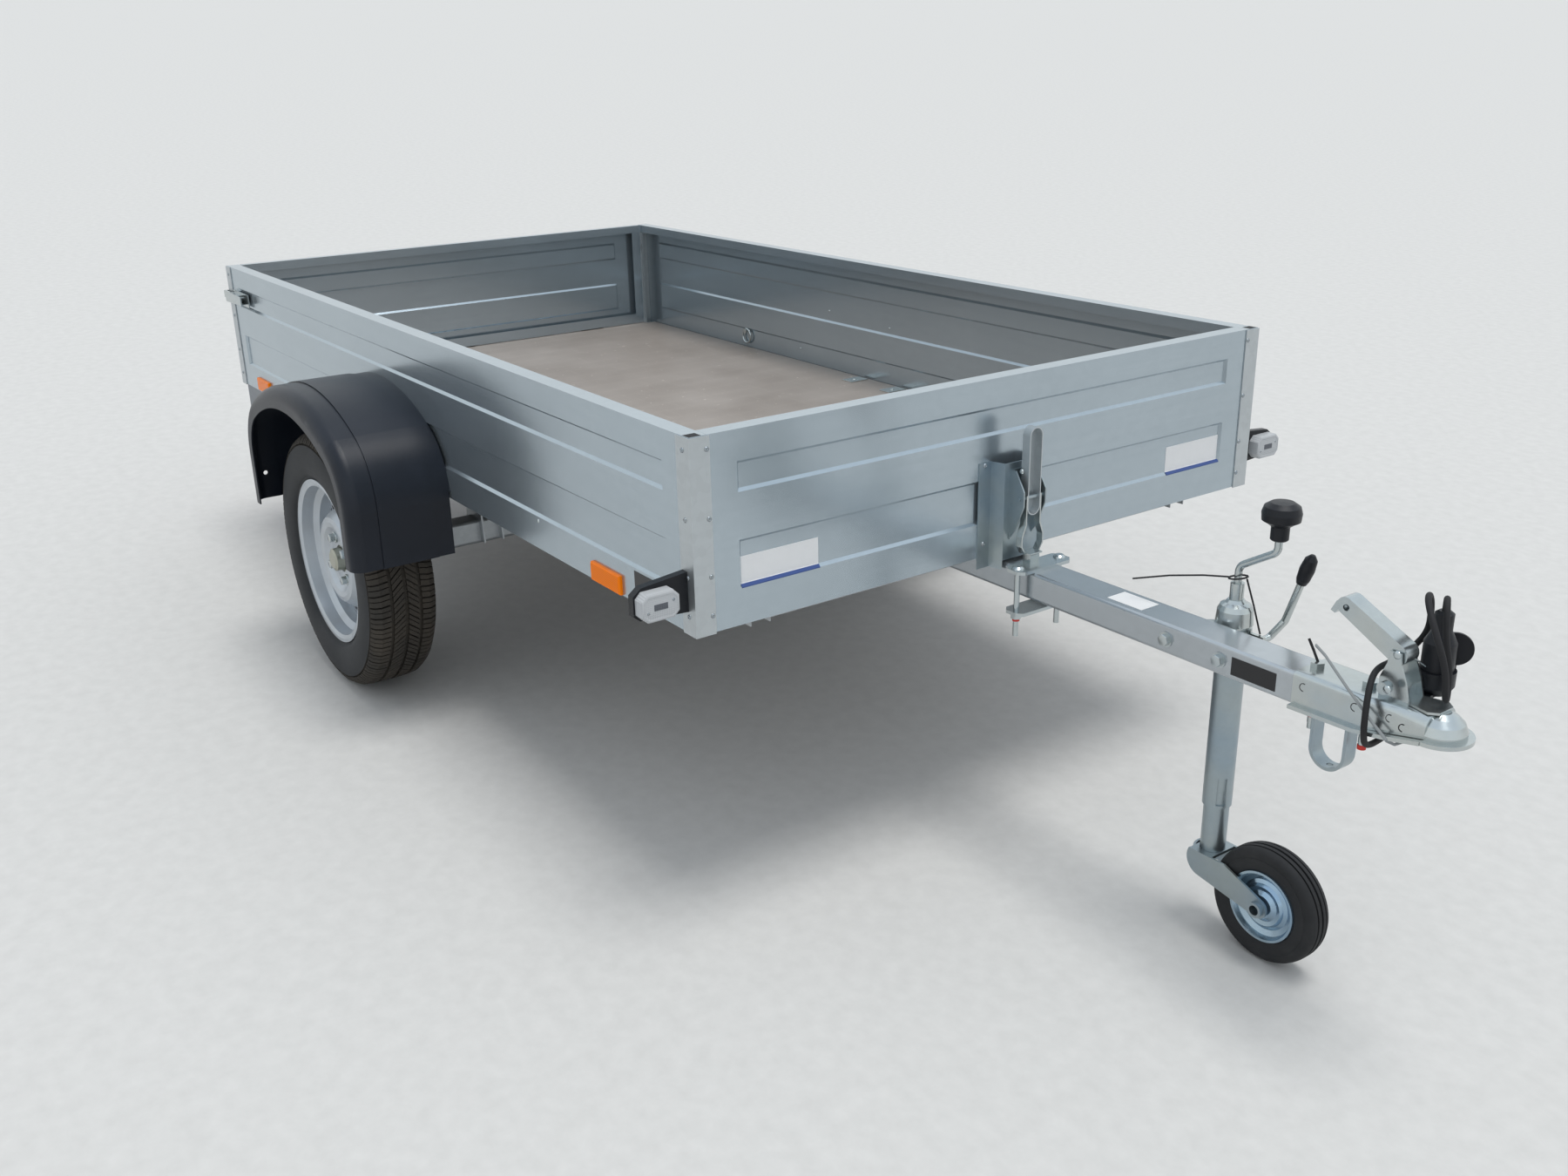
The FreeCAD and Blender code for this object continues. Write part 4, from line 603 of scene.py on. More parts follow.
def profile_chain(profile, name, lean_at=None):
    """Closed chain of edges through (across, radius) points: one vertex pushed on from point to point."""
    points = []
    for s, r in profile:
        turn = lean_at(s) if lean_at else 0.0
        points.append(Vector((r * math.sin(turn), s, r * math.cos(turn))) * MM)
    start()
    bpy.ops.mesh.primitive_plane_add(size=MM, location=points[0])
    piece = bpy.context.object
    piece.name = name
    bpy.ops.object.transform_apply()
    edit_all()
    bpy.ops.mesh.merge(type="CENTER")
    for before, after in zip(points, points[1:]):
        bpy.ops.mesh.extrude_vertices_move(TRANSFORM_OT_translate={"value": after - before})
    leave()
    for vertex in piece.data.vertices:
        vertex.select = min((vertex.co - points[0]).length, (vertex.co - points[-1]).length) < SAME
    edit()
    bpy.ops.mesh.edge_face_add()
    bpy.ops.mesh.select_all(action="SELECT")
    return piece


# Tyres

def mirrored(half):
    """A half profile, from the bead to the middle, with its other half."""
    return half + [(-s, r) for s, r in reversed(half)]


class TrailerTyreSizes(bpy.types.PropertyGroup):
    pitches: bpy.props.IntProperty(
        name="Pitches", description="Blocks round each shoulder", default=68, min=8)
    tread: length_of("Tread", "Depth of the grooves", 6 * MM)
    wide_sipe: angle_of("Wide sipe", "Angle of the wide sipe", 0.75)
    fine_sipe: angle_of("Fine sipe", "Angle of the fine sipe", 0.36)


# Groove bottoms of the road tyre from the bead to the middle: (distance from the middle, radius), mm
ROAD_HALF = [(59.7, 170.3), (62.4, 176.5), (62.4, 183), (64.8, 185.2), (66.2, 188.4), (69.4, 190.4),
             (73.3, 196), (76.2, 206), (77.2, 216), (77.3, 226), (76.9, 236), (75.8, 244), (74.3, 251),
             (72.4, 257.2), (66.6, 258.6), (61.8, 267.2), (51, 274.8), (34, 276.7), (27.5, 277.0), (4, 277.4)]
# Rows of blocks on each half, (inner edge, outer edge), mm
ROWS = [(34.0, 66.7), (4.0, 27.5)]
# How far the sipes have run round the tyre: (distance from the middle in mm, degrees)
LEAN = [(4.0, 0.0), (27.5, 4.2), (34.0, 4.6), (66.7, 6.0)]
# Radius outside of which the blocks are, and radius up to which the side wall's rubber goes
BLOCKS_FROM = 0.258
SIDE_TO = 0.2565


def lean(across):
    """Angle by which a sipe has run round the tyre at a distance from its middle, mm."""
    s = min(max(abs(across), LEAN[0][0]), LEAN[-1][0])
    (s0, a0), (s1, a1) = next(pair for pair in zip(LEAN, LEAN[1:]) if s <= pair[1][0])
    return math.radians(a0 + (a1 - a0) * (s - s0) / (s1 - s0))


def road_tyre(sizes, name):
    """One pitch of the tread is spun, its blocks are raised, and an array takes it round."""
    piece = profile_chain(mirrored(ROAD_HALF), name, lean)
    pitch = math.tau / sizes.pitches
    stops = [sizes.wide_sipe, pitch * 0.5, pitch * 0.5 + sizes.fine_sipe, pitch]
    at = 0.0
    for stop in stops:
        bpy.ops.mesh.spin(steps=1, angle=at - stop, center=(0, 0, 0), axis=(0, 1, 0))
        at = stop
    bpy.ops.mesh.select_all(action="SELECT")
    bpy.ops.mesh.normals_make_consistent(inside=False)

    def raised(face):
        s, r = abs(face.center.y), math.hypot(face.center.x, face.center.z)
        turn = (math.atan2(face.center.x, face.center.z) - lean(face.center.y / MM)) % math.tau
        in_row = any(a * MM < s < b * MM for a, b in ROWS) and r > BLOCKS_FROM
        return in_row and (stops[0] < turn < stops[1] or stops[2] < turn < stops[3])

    pick_faces(piece, raised)
    bpy.ops.mesh.extrude_region_shrink_fatten(TRANSFORM_OT_shrink_fatten={"value": sizes.tread})
    leave()
    bpy.ops.object.empty_add(location=(0, 0, 0), rotation=(0, pitch, 0))
    turner = bpy.context.object
    only(piece)
    array = piece.modifiers.new("Round", "ARRAY")
    array.count = sizes.pitches
    array.use_relative_offset = False
    array.use_object_offset = True
    array.offset_object = turner
    array.use_merge_vertices = True
    array.use_merge_vertices_cap = True
    array.merge_threshold = SAME
    bpy.ops.object.modifier_apply(modifier=array.name)
    bpy.data.objects.remove(turner)
    edit_all()
    close_up()
    smooth(piece, 28)
    return piece


class TRAILER_OT_road_tyres(bpy.types.Operator):
    """Road tyres with shoulder blocks, ribs and sipes"""
    bl_idname = "trailer.road_tyres"
    bl_label = "Road tyres"

    def execute(self, context):
        sizes = context.scene.trailer_tyres
        first = road_tyre(sizes, "road_tyre_right")
        only(first)
        bpy.ops.object.duplicate()
        second = context.object
        for piece, side, word in ((first, -1, "right"), (second, 1, "left")):
            place = LEVEL @ Matrix.Translation((0, side * TRACK, 0))
            settle(piece, f"road_tyre_{word}", "tyre_tread", f"wheel_{word}", place)
            piece.data.materials.append(finish_of("tyre_side"))
            centre = level(0, side * TRACK, 0)
            for face in piece.data.polygons:
                offset = face.center - centre
                face.material_index = 1 if math.hypot(offset.x, offset.z) < SIDE_TO else 0
            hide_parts(f"tyre_{word}")
        return {"FINISHED"}


# Jockey wheel's tyre from the seat on its rim to the middle of the tread, mm
JOCKEY_HALF = [(21.9, 62.2), (23.4, 66), (23.4, 68.5), (24.2, 70), (24.9, 78), (24.8, 82), (24.1, 82.6),
               (24.1, 84.4), (24.4, 85), (23, 92), (20.6, 95.6), (16, 98.2), (11.5, 99.3), (11.1, 96.4),
               (9.0, 96.4), (8.6, 99.8), (2.2, 99.95), (1.8, 96.8)]


class TRAILER_OT_jockey_tyre(bpy.types.Operator):
    """Solid rubber tyre of the jockey wheel with grooves round its tread"""
    bl_idname = "trailer.jockey_tyre"
    bl_label = "Jockey tyre"

    def execute(self, context):
        piece = profile_chain(mirrored(JOCKEY_HALF), "jockey_tread")
        bpy.ops.mesh.spin(steps=96, angle=math.tau, center=(0, 0, 0), axis=(0, 1, 0))
        close_up()
        smooth(piece, 40)
        place = LEVEL @ Matrix.Translation((JOCKEY_AXLE[0], JOCKEY_Y, JOCKEY_AXLE[1]))
        settle(piece, "jockey_tread", "jockey_rubber", "jockey_wheel", place)
        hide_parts("jockey_tyre")
        return {"FINISHED"}


# Cable

# Route from the hole in the drawbar's left wall, round the neck and over the plug into its top:
# distances from the ball's centre line and the drawbar's top, mm
CABLE_RUN = [(-252, 31, -31.3), (-230, 70, -31.3), (-175, 84, -37), (-122, 76, -52), (-90, 52, -66),
             (-87, 8, -72), (-81, -40, -68), (-74, -60, -36), (-76, -58, 8), (-86, -38, 34), (-98, -6, 38),
             (-100, 32, 37), (-92, 62, 50), (-74, 69, 82), (-71, 61, 124), (-62, 36, 150), (-48, 8, 150),
             (-20, -11, 118), (0, -6, 68), (4, -4, 22), (-6, 18, 20), (-10, 20, 60), (-19, 15, 104),
             (-23, 17, 134), (-32, 29, 150), (-41.5, 45, 147), (-42, 46, 128)]


class TrailerCableSizes(bpy.types.PropertyGroup):
    length: length_of("Length", "Length of the cable outside the drawbar", 0.975)
    diameter: length_of("Diameter", "Diameter of the cable", 9 * MM)


class TRAILER_OT_cable(bpy.types.Operator):
    """Lighting cable from the drawbar to the parked plug"""
    bl_idname = "trailer.cable"
    bl_label = "Cable"

    def execute(self, context):
        sizes = context.scene.trailer_cable
        line = bpy.data.curves.new("lighting_cable", "CURVE")
        line.dimensions = "3D"
        spline = line.splines.new("NURBS")
        route = [level(BALL_X + x * MM, y * MM, BAR_TOP + z * MM) for x, y, z in CABLE_RUN]
        spline.points.add(len(route) - 1)
        for point, place in zip(spline.points, route):
            point.co = (*place, 1)
        spline.order_u = 3
        spline.use_endpoint_u = True
        line.bevel_depth = sizes.diameter / 2
        line.bevel_resolution = 5
        line.resolution_u = 12
        line.use_fill_caps = True
        piece = bpy.data.objects.new("lighting_cable", line)
        context.collection.objects.link(piece)
        paint(piece, "soft_black")
        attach(piece, "chassis")
        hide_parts("cable")
        return {"FINISHED"}


# Fixings

class TrailerFixingSizes(bpy.types.PropertyGroup):
    rivet: length_of("Rivet", "Radius of the wall's rivet heads", 4.2 * MM)
    wheel_bolt: length_of("Wheel bolt", "Width over flats of the wheel bolts", 17 * MM)
    wheel_circle: length_of("Bolt circle", "Radius of the wheel bolts' circle", 49 * MM)


# Rivets of the corner posts: heights, place on the front wall and distance from the tub's ends
RIVET_Z = (0.484, 0.375, 0.282, 0.218)
RIVET_Y = 0.624
RIVET_IN = 0.0185
# Rivets of the toggle's post on the front wall
POST_RIVET_Z = (0.356, 0.214)
POST_RIVET_Y = 0.0605
# Screw in each side wall, screws of each mudguard inside the tub, (x, z), and how deep those sit
SIDE_SCREW = (0.7265, 0.243)
GUARD_SCREWS = ((-0.122, 0.3555), (0.1335, 0.3443), (-0.257, 0.233))
GUARD_SCREW_IN = 1.5 * MM
# Clips that hold the floor board along the left wall
CLIPS_X = (0.038, 0.194)
CLIP_Y = (0.586, 0.642)
CLIP_SCREW_Y = 0.612
CLIP_HALF = 20 * MM
CLIP_T = 2.5 * MM
# Painted shade in the open ends of the rim folds at the front corners, as black boxes: along, across and up
OPENING_SHADE_X = (FRONT - 22 * MM, FRONT - 3 * MM)
OPENING_SHADE_Y = (0.6305, 0.6525)
OPENING_SHADE_Z = (TOP - 0.2 * MM, TOP + 0.05 * MM)


def wall_rivet_places():
    """Rivets of the corner posts on the front wall and on the side walls, and of the toggle's post."""
    places = []
    for side in (-1, 1):
        for z in RIVET_Z:
            places.append(((FRONT, side * RIVET_Y, z), (1, 0, 0), 0))
            places.append(((FRONT - RIVET_IN, side * HALF, z), (0, side, 0), 0))
            places.append(((REAR + RIVET_IN, side * HALF, z), (0, side, 0), 0))
        for z in POST_RIVET_Z:
            places.append(((FRONT, side * POST_RIVET_Y, z), (1, 0, 0), 0))
    return places


class TRAILER_OT_wall_fixings(bpy.types.Operator):
    """Rivets and screws of the walls and mudguards, the floor's clips, and black boxes of painted shade in
    the rims' open ends
    """
    bl_idname = "trailer.wall_fixings"
    bl_label = "Wall fixings"

    def execute(self, context):
        sizes = context.scene.trailer_fixings
        master = blind_rivet(sizes.rivet)
        # Rivet heads in the darker zinc, whose dark tone is painted shade
        scatter(master, wall_rivet_places(), "wall_rivets", "shaded_rivet_zinc", "tub")
        screws = []
        for side in (-1, 1):
            screws.append(((SIDE_SCREW[0], side * WALL_OUT, SIDE_SCREW[1]), (0, side, 0), 0))
            for x, z in GUARD_SCREWS:
                screws.append(((x, side * (WALL_OUT - GUARD_SCREW_IN), z), (0, -side, 0), 0))
        bright_fixings(dome(3.6 * MM, 1.8 * MM), screws, "wall_screws", "tub")
        top = FLOOR_TOP + CLIP_T
        clips = [block(x - CLIP_HALF, x + CLIP_HALF, *CLIP_Y, FLOOR_TOP, top, 0.6 * MM) for x in CLIPS_X]
        settle(joined(clips), "floor_clips", "bright_zinc", "tub")
        # Black boxes in the rims' open ends: painted shade, for the dark inside of the hollow rim folds
        opening_shades = []
        for side in (-1, 1):
            edges = sorted(side * y for y in OPENING_SHADE_Y)
            opening_shades.append(block(*OPENING_SHADE_X, *edges, *OPENING_SHADE_Z))
        settle(joined(opening_shades), "rim_opening_shades", "soft_black", "tub")
        heads = [((x, CLIP_SCREW_Y, top), (0, 0, 1), 0) for x in CLIPS_X]
        bright_fixings(dome(5 * MM, 2.4 * MM), heads, "floor_clip_screws", "tub")
        return {"FINISHED"}


# Bolts and nuts of the jockey clamp on the drawbar's sides, and the plate under the nuts
CLAMP_Z = 0.156
CLAMP_BOLTS_X = (1.655, 1.758)
CLAMP_NUTS_X = (1.633, 1.762)
CLAMP_PLATE = 5 * MM
# Lower ends of the coupling's bolts, and the red marks: (x, y, z)
BOLT_END_Z = 0.088
LOCK_MARKS = ((1.338, -0.050, 0.0915), (1.338, 0.050, 0.0915),
              (COUPLING_BOLTS[0], 0, 0.107), (COUPLING_BOLTS[1], 0, 0.0875))
# Rivet heads on the toggle's bracket and pin heads of the coupling's handle: (x, y, z)
TOGGLE_RIVETS = ((1.3153, -0.027, 0.352), (1.280, -0.027, 0.290))
HANDLE_PINS = ((2.039, -0.0275, 0.257), (2.036, -0.0365, 0.2075))
# Half-moon marks pressed into the coupling's side, as thin black bars of painted shade: (x, z, radius in mm,
# depth behind the side in mm)
MOONS = ((1.910, 0.166, 6, 0), (1.994, 0.166, 6, 0), (2.046, 0.168, 5.5, 2.5), (2.066, 0.161, 5.5, 2.7))


def moon(x, z, radius, sunk):
    """Thin black bar bent to a half-moon on the coupling's right side, painted shade of a pressed groove."""
    arc = []
    for i in range(9):
        turn = math.radians(70 + 25 * i)
        x1 = x + radius * MM * math.cos(turn)
        z1 = z + radius * MM * math.sin(turn)
        arc.append((x1, sunk * MM - COUPLING_HALF, z1))
    return bar_along(arc, 0.7 * MM, 6)


class TRAILER_OT_bar_fixings(bpy.types.Operator):
    """Bolts, rivets and pins of the drawbar's fittings, with their red marks and the painted shade of their
    pressed marks
    """
    bl_idname = "trailer.bar_fixings"
    bl_label = "Drawbar fixings"

    def execute(self, context):
        places = [((x, -BAR_HALF, CLAMP_Z), (0, -1, 0), 0.3) for x in CLAMP_BOLTS_X]
        master = hex_bolt(17 * MM, 7 * MM, 12.5 * MM, 2 * MM)
        bright_fixings(master, places, "clamp_bolt_heads", "chassis")
        places = [((x, BAR_HALF + CLAMP_PLATE, CLAMP_Z), (0, 1, 0), 0.1) for x in CLAMP_NUTS_X]
        master = hex_bolt(17 * MM, 8 * MM, 12 * MM, 2 * MM, tip=6 * MM)
        bright_fixings(master, places, "clamp_bolt_nuts", "chassis")
        ends = [((x, 0, BOLT_END_Z), (0, 0, 1), 0) for x in COUPLING_BOLTS]
        master = disc(5.4 * MM, 32 * MM, sides=24, top_bevel=0.8 * MM)
        bright_fixings(master, ends, "bolt_ends", "chassis")
        marks = [(at, (0, 0, 1), 0) for at in LOCK_MARKS]
        master = disc(6.4 * MM, 7 * MM, sides=24, top_bevel=0.6 * MM)
        scatter(master, marks, "lock_marks", "lock_paint", "chassis")
        rivets = [(at, (0, -1, 0), 0) for at in TOGGLE_RIVETS]
        bright_fixings(dome(4.4 * MM, 2.4 * MM), rivets, "toggle_rivets", "tub")
        # Black bars in the pressed marks: painted shade of their grooves
        groove_shades = joined([moon(*sizes) for sizes in MOONS])
        settle(groove_shades, "pressed_mark_shades", "black_film", "chassis")
        pins = [(at, (0, -1, 0), 0) for at in HANDLE_PINS]
        bright_fixings(dome(6.0 * MM, 3.0 * MM), pins, "handle_pins", "chassis")
        return {"FINISHED"}


# Bolt heads on the wheel discs: distance out and place of the first one on their circle, in degrees
WHEEL_BOLTS_OUT = TRACK + 34 * MM
WHEEL_BOLTS_FROM = 28
# Tyre valves: distance out, circle, place on it in degrees, and slope towards the wheel's axis
VALVE_OUT = TRACK + 41 * MM
VALVE_R = 0.1655
VALVE_AT = 62
VALVE_SLOPE = 0.3


def on_wheel(radius, degrees, y):
    """Point on a circle round the wheel's axis."""
    turn = math.radians(degrees)
    return (radius * math.cos(turn), y, radius * math.sin(turn))


class TRAILER_OT_wheel_fixings(bpy.types.Operator):
    """Four bolts on each wheel disc, and the tyre valves"""
    bl_idname = "trailer.wheel_fixings"
    bl_label = "Wheel fixings"

    def execute(self, context):
        sizes = context.scene.trailer_fixings
        for side, word in ((-1, "right"), (1, "left")):
            places = []
            for i in range(4):
                degrees = WHEEL_BOLTS_FROM + 90 * i
                at = on_wheel(sizes.wheel_circle, degrees, side * WHEEL_BOLTS_OUT)
                places.append((at, (0, side, 0), math.radians(degrees)))
            collar = disc(12.5 * MM, 4 * MM, top_bevel=2 * MM)
            head_r = sizes.wheel_bolt / math.sqrt(3)
            bolt = joined([collar, disc(head_r, 11 * MM, 4 * MM, sides=6, top_bevel=1.2 * MM)])
            bright_fixings(bolt, places, f"wheel_bolts_{word}", f"wheel_{word}")
            at = on_wheel(VALVE_R, VALVE_AT, side * VALVE_OUT)
            leaning = on_wheel(-VALVE_SLOPE, VALVE_AT, side)
            valve = joined([disc(5.6 * MM, 12 * MM, sides=20, top_bevel=1.5 * MM),
                            disc(4.2 * MM, 10 * MM, 12 * MM, sides=16, top_bevel=1 * MM)])
            scatter(valve, [(at, leaning, 0)], f"valve_{word}", "soft_black", f"wheel_{word}")
        return {"FINISHED"}


# Front lamps

# Outline of a lamp's bracket in the front view: (distance from the middle, height), mm
BRACKET = [(655.5, 292.5), (737.8, 284.5), (752.5, 273), (752.5, 240.5), (742, 232), (655.5, 226.5)]
BRACKET_DEEP = 14 * MM
BRACKET_WALL = 2.5 * MM
# Lamps: back, front, middle, half their width and height, ridge round the face, screws and window
LAMP_BACK = FRONT - 19 * MM
LAMP_FACE = FRONT + 3 * MM
LAMP_Y = 0.7165
LAMP_Z = 0.2565
LAMP_HALF = (33 * MM, 22.5 * MM)
LAMP_RIDGE = 0.8 * MM
LAMP_SCREW = (22.3 * MM, 6.8 * MM)
WINDOW_HALF = (12 * MM, 5 * MM)


def lamp_bracket(side):
    """Moulded bracket: a plate across the lamp's back with a lip that runs rearward round its edge."""
    piece = profile_chain([(side * y, z) for y, z in BRACKET], "bracket")
    bpy.ops.mesh.edge_face_add()
    push((-BRACKET_DEEP, 0, 0))
    bpy.ops.mesh.inset(thickness=BRACKET_WALL)
    push((BRACKET_DEEP - BRACKET_WALL, 0, 0))
    close_up()
    piece.location.x = LAMP_BACK
    return piece


def lamp_lens(side):
    """Lens with cut corners, a bevelled front edge and a ridge round its face."""
    y, half_y, half_z = side * LAMP_Y, *LAMP_HALF
    piece = block(LAMP_BACK, LAMP_FACE, y - half_y, y + half_y, LAMP_Z - half_z, LAMP_Z + half_z)
    pick_edges(piece, lambda a, b: abs(a.x - b.x) > 10 * MM)
    bpy.ops.mesh.bevel(offset=10 * MM, segments=1, affect="EDGES")
    pick_edges(piece, lambda a, b: min(a.x, b.x) > LAMP_FACE - SAME)
    bpy.ops.mesh.bevel(offset=3 * MM, segments=2, affect="EDGES")
    pick_faces(piece, lambda face: face.center.x > LAMP_FACE - SAME)
    bpy.ops.mesh.inset(thickness=1.5 * MM)
    bpy.ops.mesh.inset(thickness=1.2 * MM)
    bpy.ops.transform.translate(value=(-LAMP_RIDGE, 0, 0))
    close_up()
    smooth(piece, 30)
    return piece


class TRAILER_OT_front_lamps(bpy.types.Operator):
    """Front marker lamps on their brackets, with screws and window"""
    bl_idname = "trailer.front_lamps"
    bl_label = "Front lamps"

    def execute(self, context):
        screws = []
        windows = []
        face = LAMP_FACE - LAMP_RIDGE
        for side in (-1, 1):
            y = side * LAMP_Y
            for end in (1, -1):
                at = (face, y + end * LAMP_SCREW[0], LAMP_Z + end * LAMP_SCREW[1])
                screws.append((at, (1, 0, 0), 0))
            half_y, half_z = WINDOW_HALF
            windows.append(block(face - 1 * MM, face + 0.6 * MM, y - half_y, y + half_y,
                                 LAMP_Z - half_z, LAMP_Z + half_z, 0.5 * MM))
        # Lamp screws in the same darker zinc, with painted shade in its tone
        scatter(dome(2.4 * MM, 1.2 * MM), screws, "lamp_screws", "shaded_rivet_zinc", "tub")
        settle(joined(windows), "lamp_windows", "smoke_lens", "tub")
        lenses = joined([lamp_lens(side) for side in (-1, 1)])
        settle(lenses, "lamp_lenses", "clear_lens", "tub")
        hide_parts("front_lamps")
        brackets = joined([lamp_bracket(side) for side in (-1, 1)])
        settle(brackets, "lamp_mounts", "black_plastic", "tub")
        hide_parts("lamp_brackets")
        return {"FINISHED"}


# Labels

FILM_T = 0.4 * MM
# Front wall: its sheet behind the posts, and the start and depth, in mm, of its pressed field
FRONT_SHEET = FRONT - 2 * MM
FIELD_LOW = 0.2512
FIELD_DEEP = 5
# Films on it: (edge, edge, top), their lower edge, and the depth in mm up to which their band goes
FRONT_FILMS = ((-0.5675, -0.4155, 0.3005), (0.415, 0.5675, 0.3045))
FILM_LOW = 0.2500
BAND_DEEP = 4
# Blank plates: name, finish, body, slot, their box and the bevel of its edges
PLATES = (
    ("type_plate", "black_film", "tub", "black_plastic",
     (1.072, 1.156, -WALL_OUT - 0.6 * MM, -WALL_OUT, 0.203, 0.246), 0.2 * MM),
    ("bar_plate", "black_film", "chassis", "black_plastic",
     (1.781, 1.861, -BAR_HALF - FILM_T, -BAR_HALF, 0.140, 0.169), 0.1 * MM),
    ("bar_film", "white_film", "chassis", "galvanised",
     (1.517, 1.590, -0.021, 0.021, BAR_TOP, BAR_TOP + FILM_T), 0.1 * MM),
)


def film_over(y0, y1, profile, thickness):
    """Film pressed into the front wall's field: its lower edge pushed on from point to point, then thickened.

    The profile holds (depth behind the wall's sheet in mm, height).
    """
    start()
    points = [Vector((FRONT_SHEET - depth * MM, (y0 + y1) / 2, z)) for depth, z in profile]
    first = points[1] - points[0]
    middle = (points[0] + points[1]) / 2
    bpy.ops.mesh.primitive_plane_add(size=1, rotation=(0, math.radians(90), 0), location=middle)
    piece = bpy.context.object
    piece.scale = (first.length, y1 - y0, 1)
    bpy.ops.object.transform_apply()
    pick_edges(piece, lambda a, b: min(a.z, b.z) > points[1].z - SAME)
    for before, after in zip(points[1:], points[2:]):
        bpy.ops.mesh.extrude_edges_move(TRANSFORM_OT_translate={"value": after - before})
    close_up()
    shell = piece.modifiers.new("Shell", "SOLIDIFY")
    shell.thickness = thickness * 2
    shell.offset = 0
    bpy.ops.object.modifier_apply(modifier=shell.name)
    return piece


class TRAILER_OT_labels(bpy.types.Operator):
    """Blank warning films, type plates and their coloured bands"""
    bl_idname = "trailer.labels"
    bl_label = "Labels"

    def execute(self, context):
        films = []
        bands = []
        for y0, y1, top in FRONT_FILMS:
            flat = [(0, FILM_LOW), (0, FIELD_LOW)]
            deep = [(FIELD_DEEP, FIELD_LOW + FIELD_DEEP * MM), (FIELD_DEEP, top)]
            films.append(film_over(y0, y1, flat + deep, FILM_T))
            slope = (BAND_DEEP, FIELD_LOW + BAND_DEEP * MM)
            bands.append(film_over(y0, y1, flat + [slope], 1.6 * FILM_T))
        settle(joined(films), "front_films", "white_film", "tub")
        settle(joined(bands), "film_bands", "blue_film", "tub")
        for name, finish, body, slot, box, bevel in PLATES:
            settle(block(*box, bevel), name, finish, body)
        return {"FINISHED"}


# Ties and wires

CRANK_X = 1.697
# A tie's slanted loop round the crank: radius, height, rise and route
LOOP_R = 14.5 * MM
LOOP_Z = 0.247
LOOP_RISE = 3 * MM
TURNS = [math.tau * i / 12 for i in range(12)]
CRANK_LOOP = [(CRANK_X + LOOP_R * math.cos(turn), JOCKEY_Y + LOOP_R * math.sin(turn),
               LOOP_Z + LOOP_RISE * math.cos(turn)) for turn in TURNS]
# Ties and wires: name, finish, slot, radius in mm and route
WIRES = (
    ("grey_tie", "grey_nylon", "black_plastic", 2.3,
     [(2.062, -0.022, 0.1345), (2.060, -0.040, 0.1350), (2.053, -0.0480, 0.1400), (2.029, -0.048, 0.158),
      (2.006, -0.0475, 0.176), (1.985, -0.046, 0.192), (1.962, -0.043, 0.209), (1.939, -0.040, 0.2265),
      (1.922, -0.039, 0.236)]),
    ("tie_stub", "soft_black", "black_plastic", 2.0,
     [(COUPLING_BOLTS[0], 0, 0.193), (COUPLING_BOLTS[0] - 0.009, 0, 0.208), (1.884, 0, 0.2235)]),
    ("crank_tie", "soft_black", "black_plastic", 1.6, CRANK_LOOP + CRANK_LOOP[:1]),
    ("crank_tie_tail", "soft_black", "black_plastic", 1.5,
     [(CRANK_X - 0.012, JOCKEY_Y - 0.008, 0.246), (CRANK_X - 0.050, JOCKEY_Y - 0.022, 0.241),
      (CRANK_X - 0.100, JOCKEY_Y - 0.043, 0.231), (CRANK_X - 0.155, JOCKEY_Y - 0.066, 0.215)]),
    ("clamp_tie", "soft_black", "black_plastic", 1.5,
     [(CRANK_X + 0.012, JOCKEY_Y + 0.006, 0.246), (CRANK_X + 0.028, JOCKEY_Y + 0.008, 0.205),
      (CRANK_X + 0.041, JOCKEY_Y + 0.013, 0.160)]),
    ("lid_spring", "bright_zinc", "zinc_plate", 1.2,
     [(2.040, 0.004, 0.247), (2.046, 0.016, 0.239), (2.052, 0.026, 0.230), (2.058, 0.030, 0.219),
      (2.050, 0.034, 0.206)]),
)


class TRAILER_OT_ties(bpy.types.Operator):
    """Cable ties on the coupling and the crank, and the plug lid's wire spring"""
    bl_idname = "trailer.ties"
    bl_label = "Ties"

    def execute(self, context):
        for name, finish, slot, radius, route in WIRES:
            settle(bar_along(route, radius * MM, 8), name, finish, "chassis")
        return {"FINISHED"}


# Stage

class TrailerStageSizes(bpy.types.PropertyGroup):
    floor_size: length_of("Floor size", "Side of the studio floor", 600.0)
    world_light: bpy.props.FloatProperty(
        name="World light", description="Strength of the even light", default=0.75, min=0.0)
    sun_light: bpy.props.FloatProperty(
        name="Key light", description="Strength of the soft key light", default=1.5, min=0.0)


# Key light: high above, a little to the front and the left, and soft as under a hazy sky
KEY_TURN = (math.radians(-4), math.radians(7), 0)
KEY_ANGLE = math.radians(25)
KEY_COLOUR = (1.0, 0.98, 0.95)
# Camera of the photograph: place in the level frame, angles in radians and focal length in mm
CAMERA_PLACE = (3.0449, -1.7433, 1.0551)
CAMERA_YAW = 2.5289
CAMERA_PITCH = -0.3607
CAMERA_ROLL = -0.0210
CAMERA_LENS = 33.616


def camera_matrix():
    """Placement of the camera in the row frame."""
    flat = math.cos(CAMERA_PITCH)
    ahead = Vector((math.cos(CAMERA_YAW) * flat, math.sin(CAMERA_YAW) * flat, math.sin(CAMERA_PITCH)))
    across = ahead.cross(Vector((0, 0, 1))).normalized()
    over = across.cross(ahead)
    right = across * math.cos(CAMERA_ROLL) + over * math.sin(CAMERA_ROLL)
    up = over * math.cos(CAMERA_ROLL) - across * math.sin(CAMERA_ROLL)
    turned = Matrix((right, up, -ahead)).transposed().to_4x4()
    return LEVEL @ Matrix.Translation(CAMERA_PLACE) @ turned


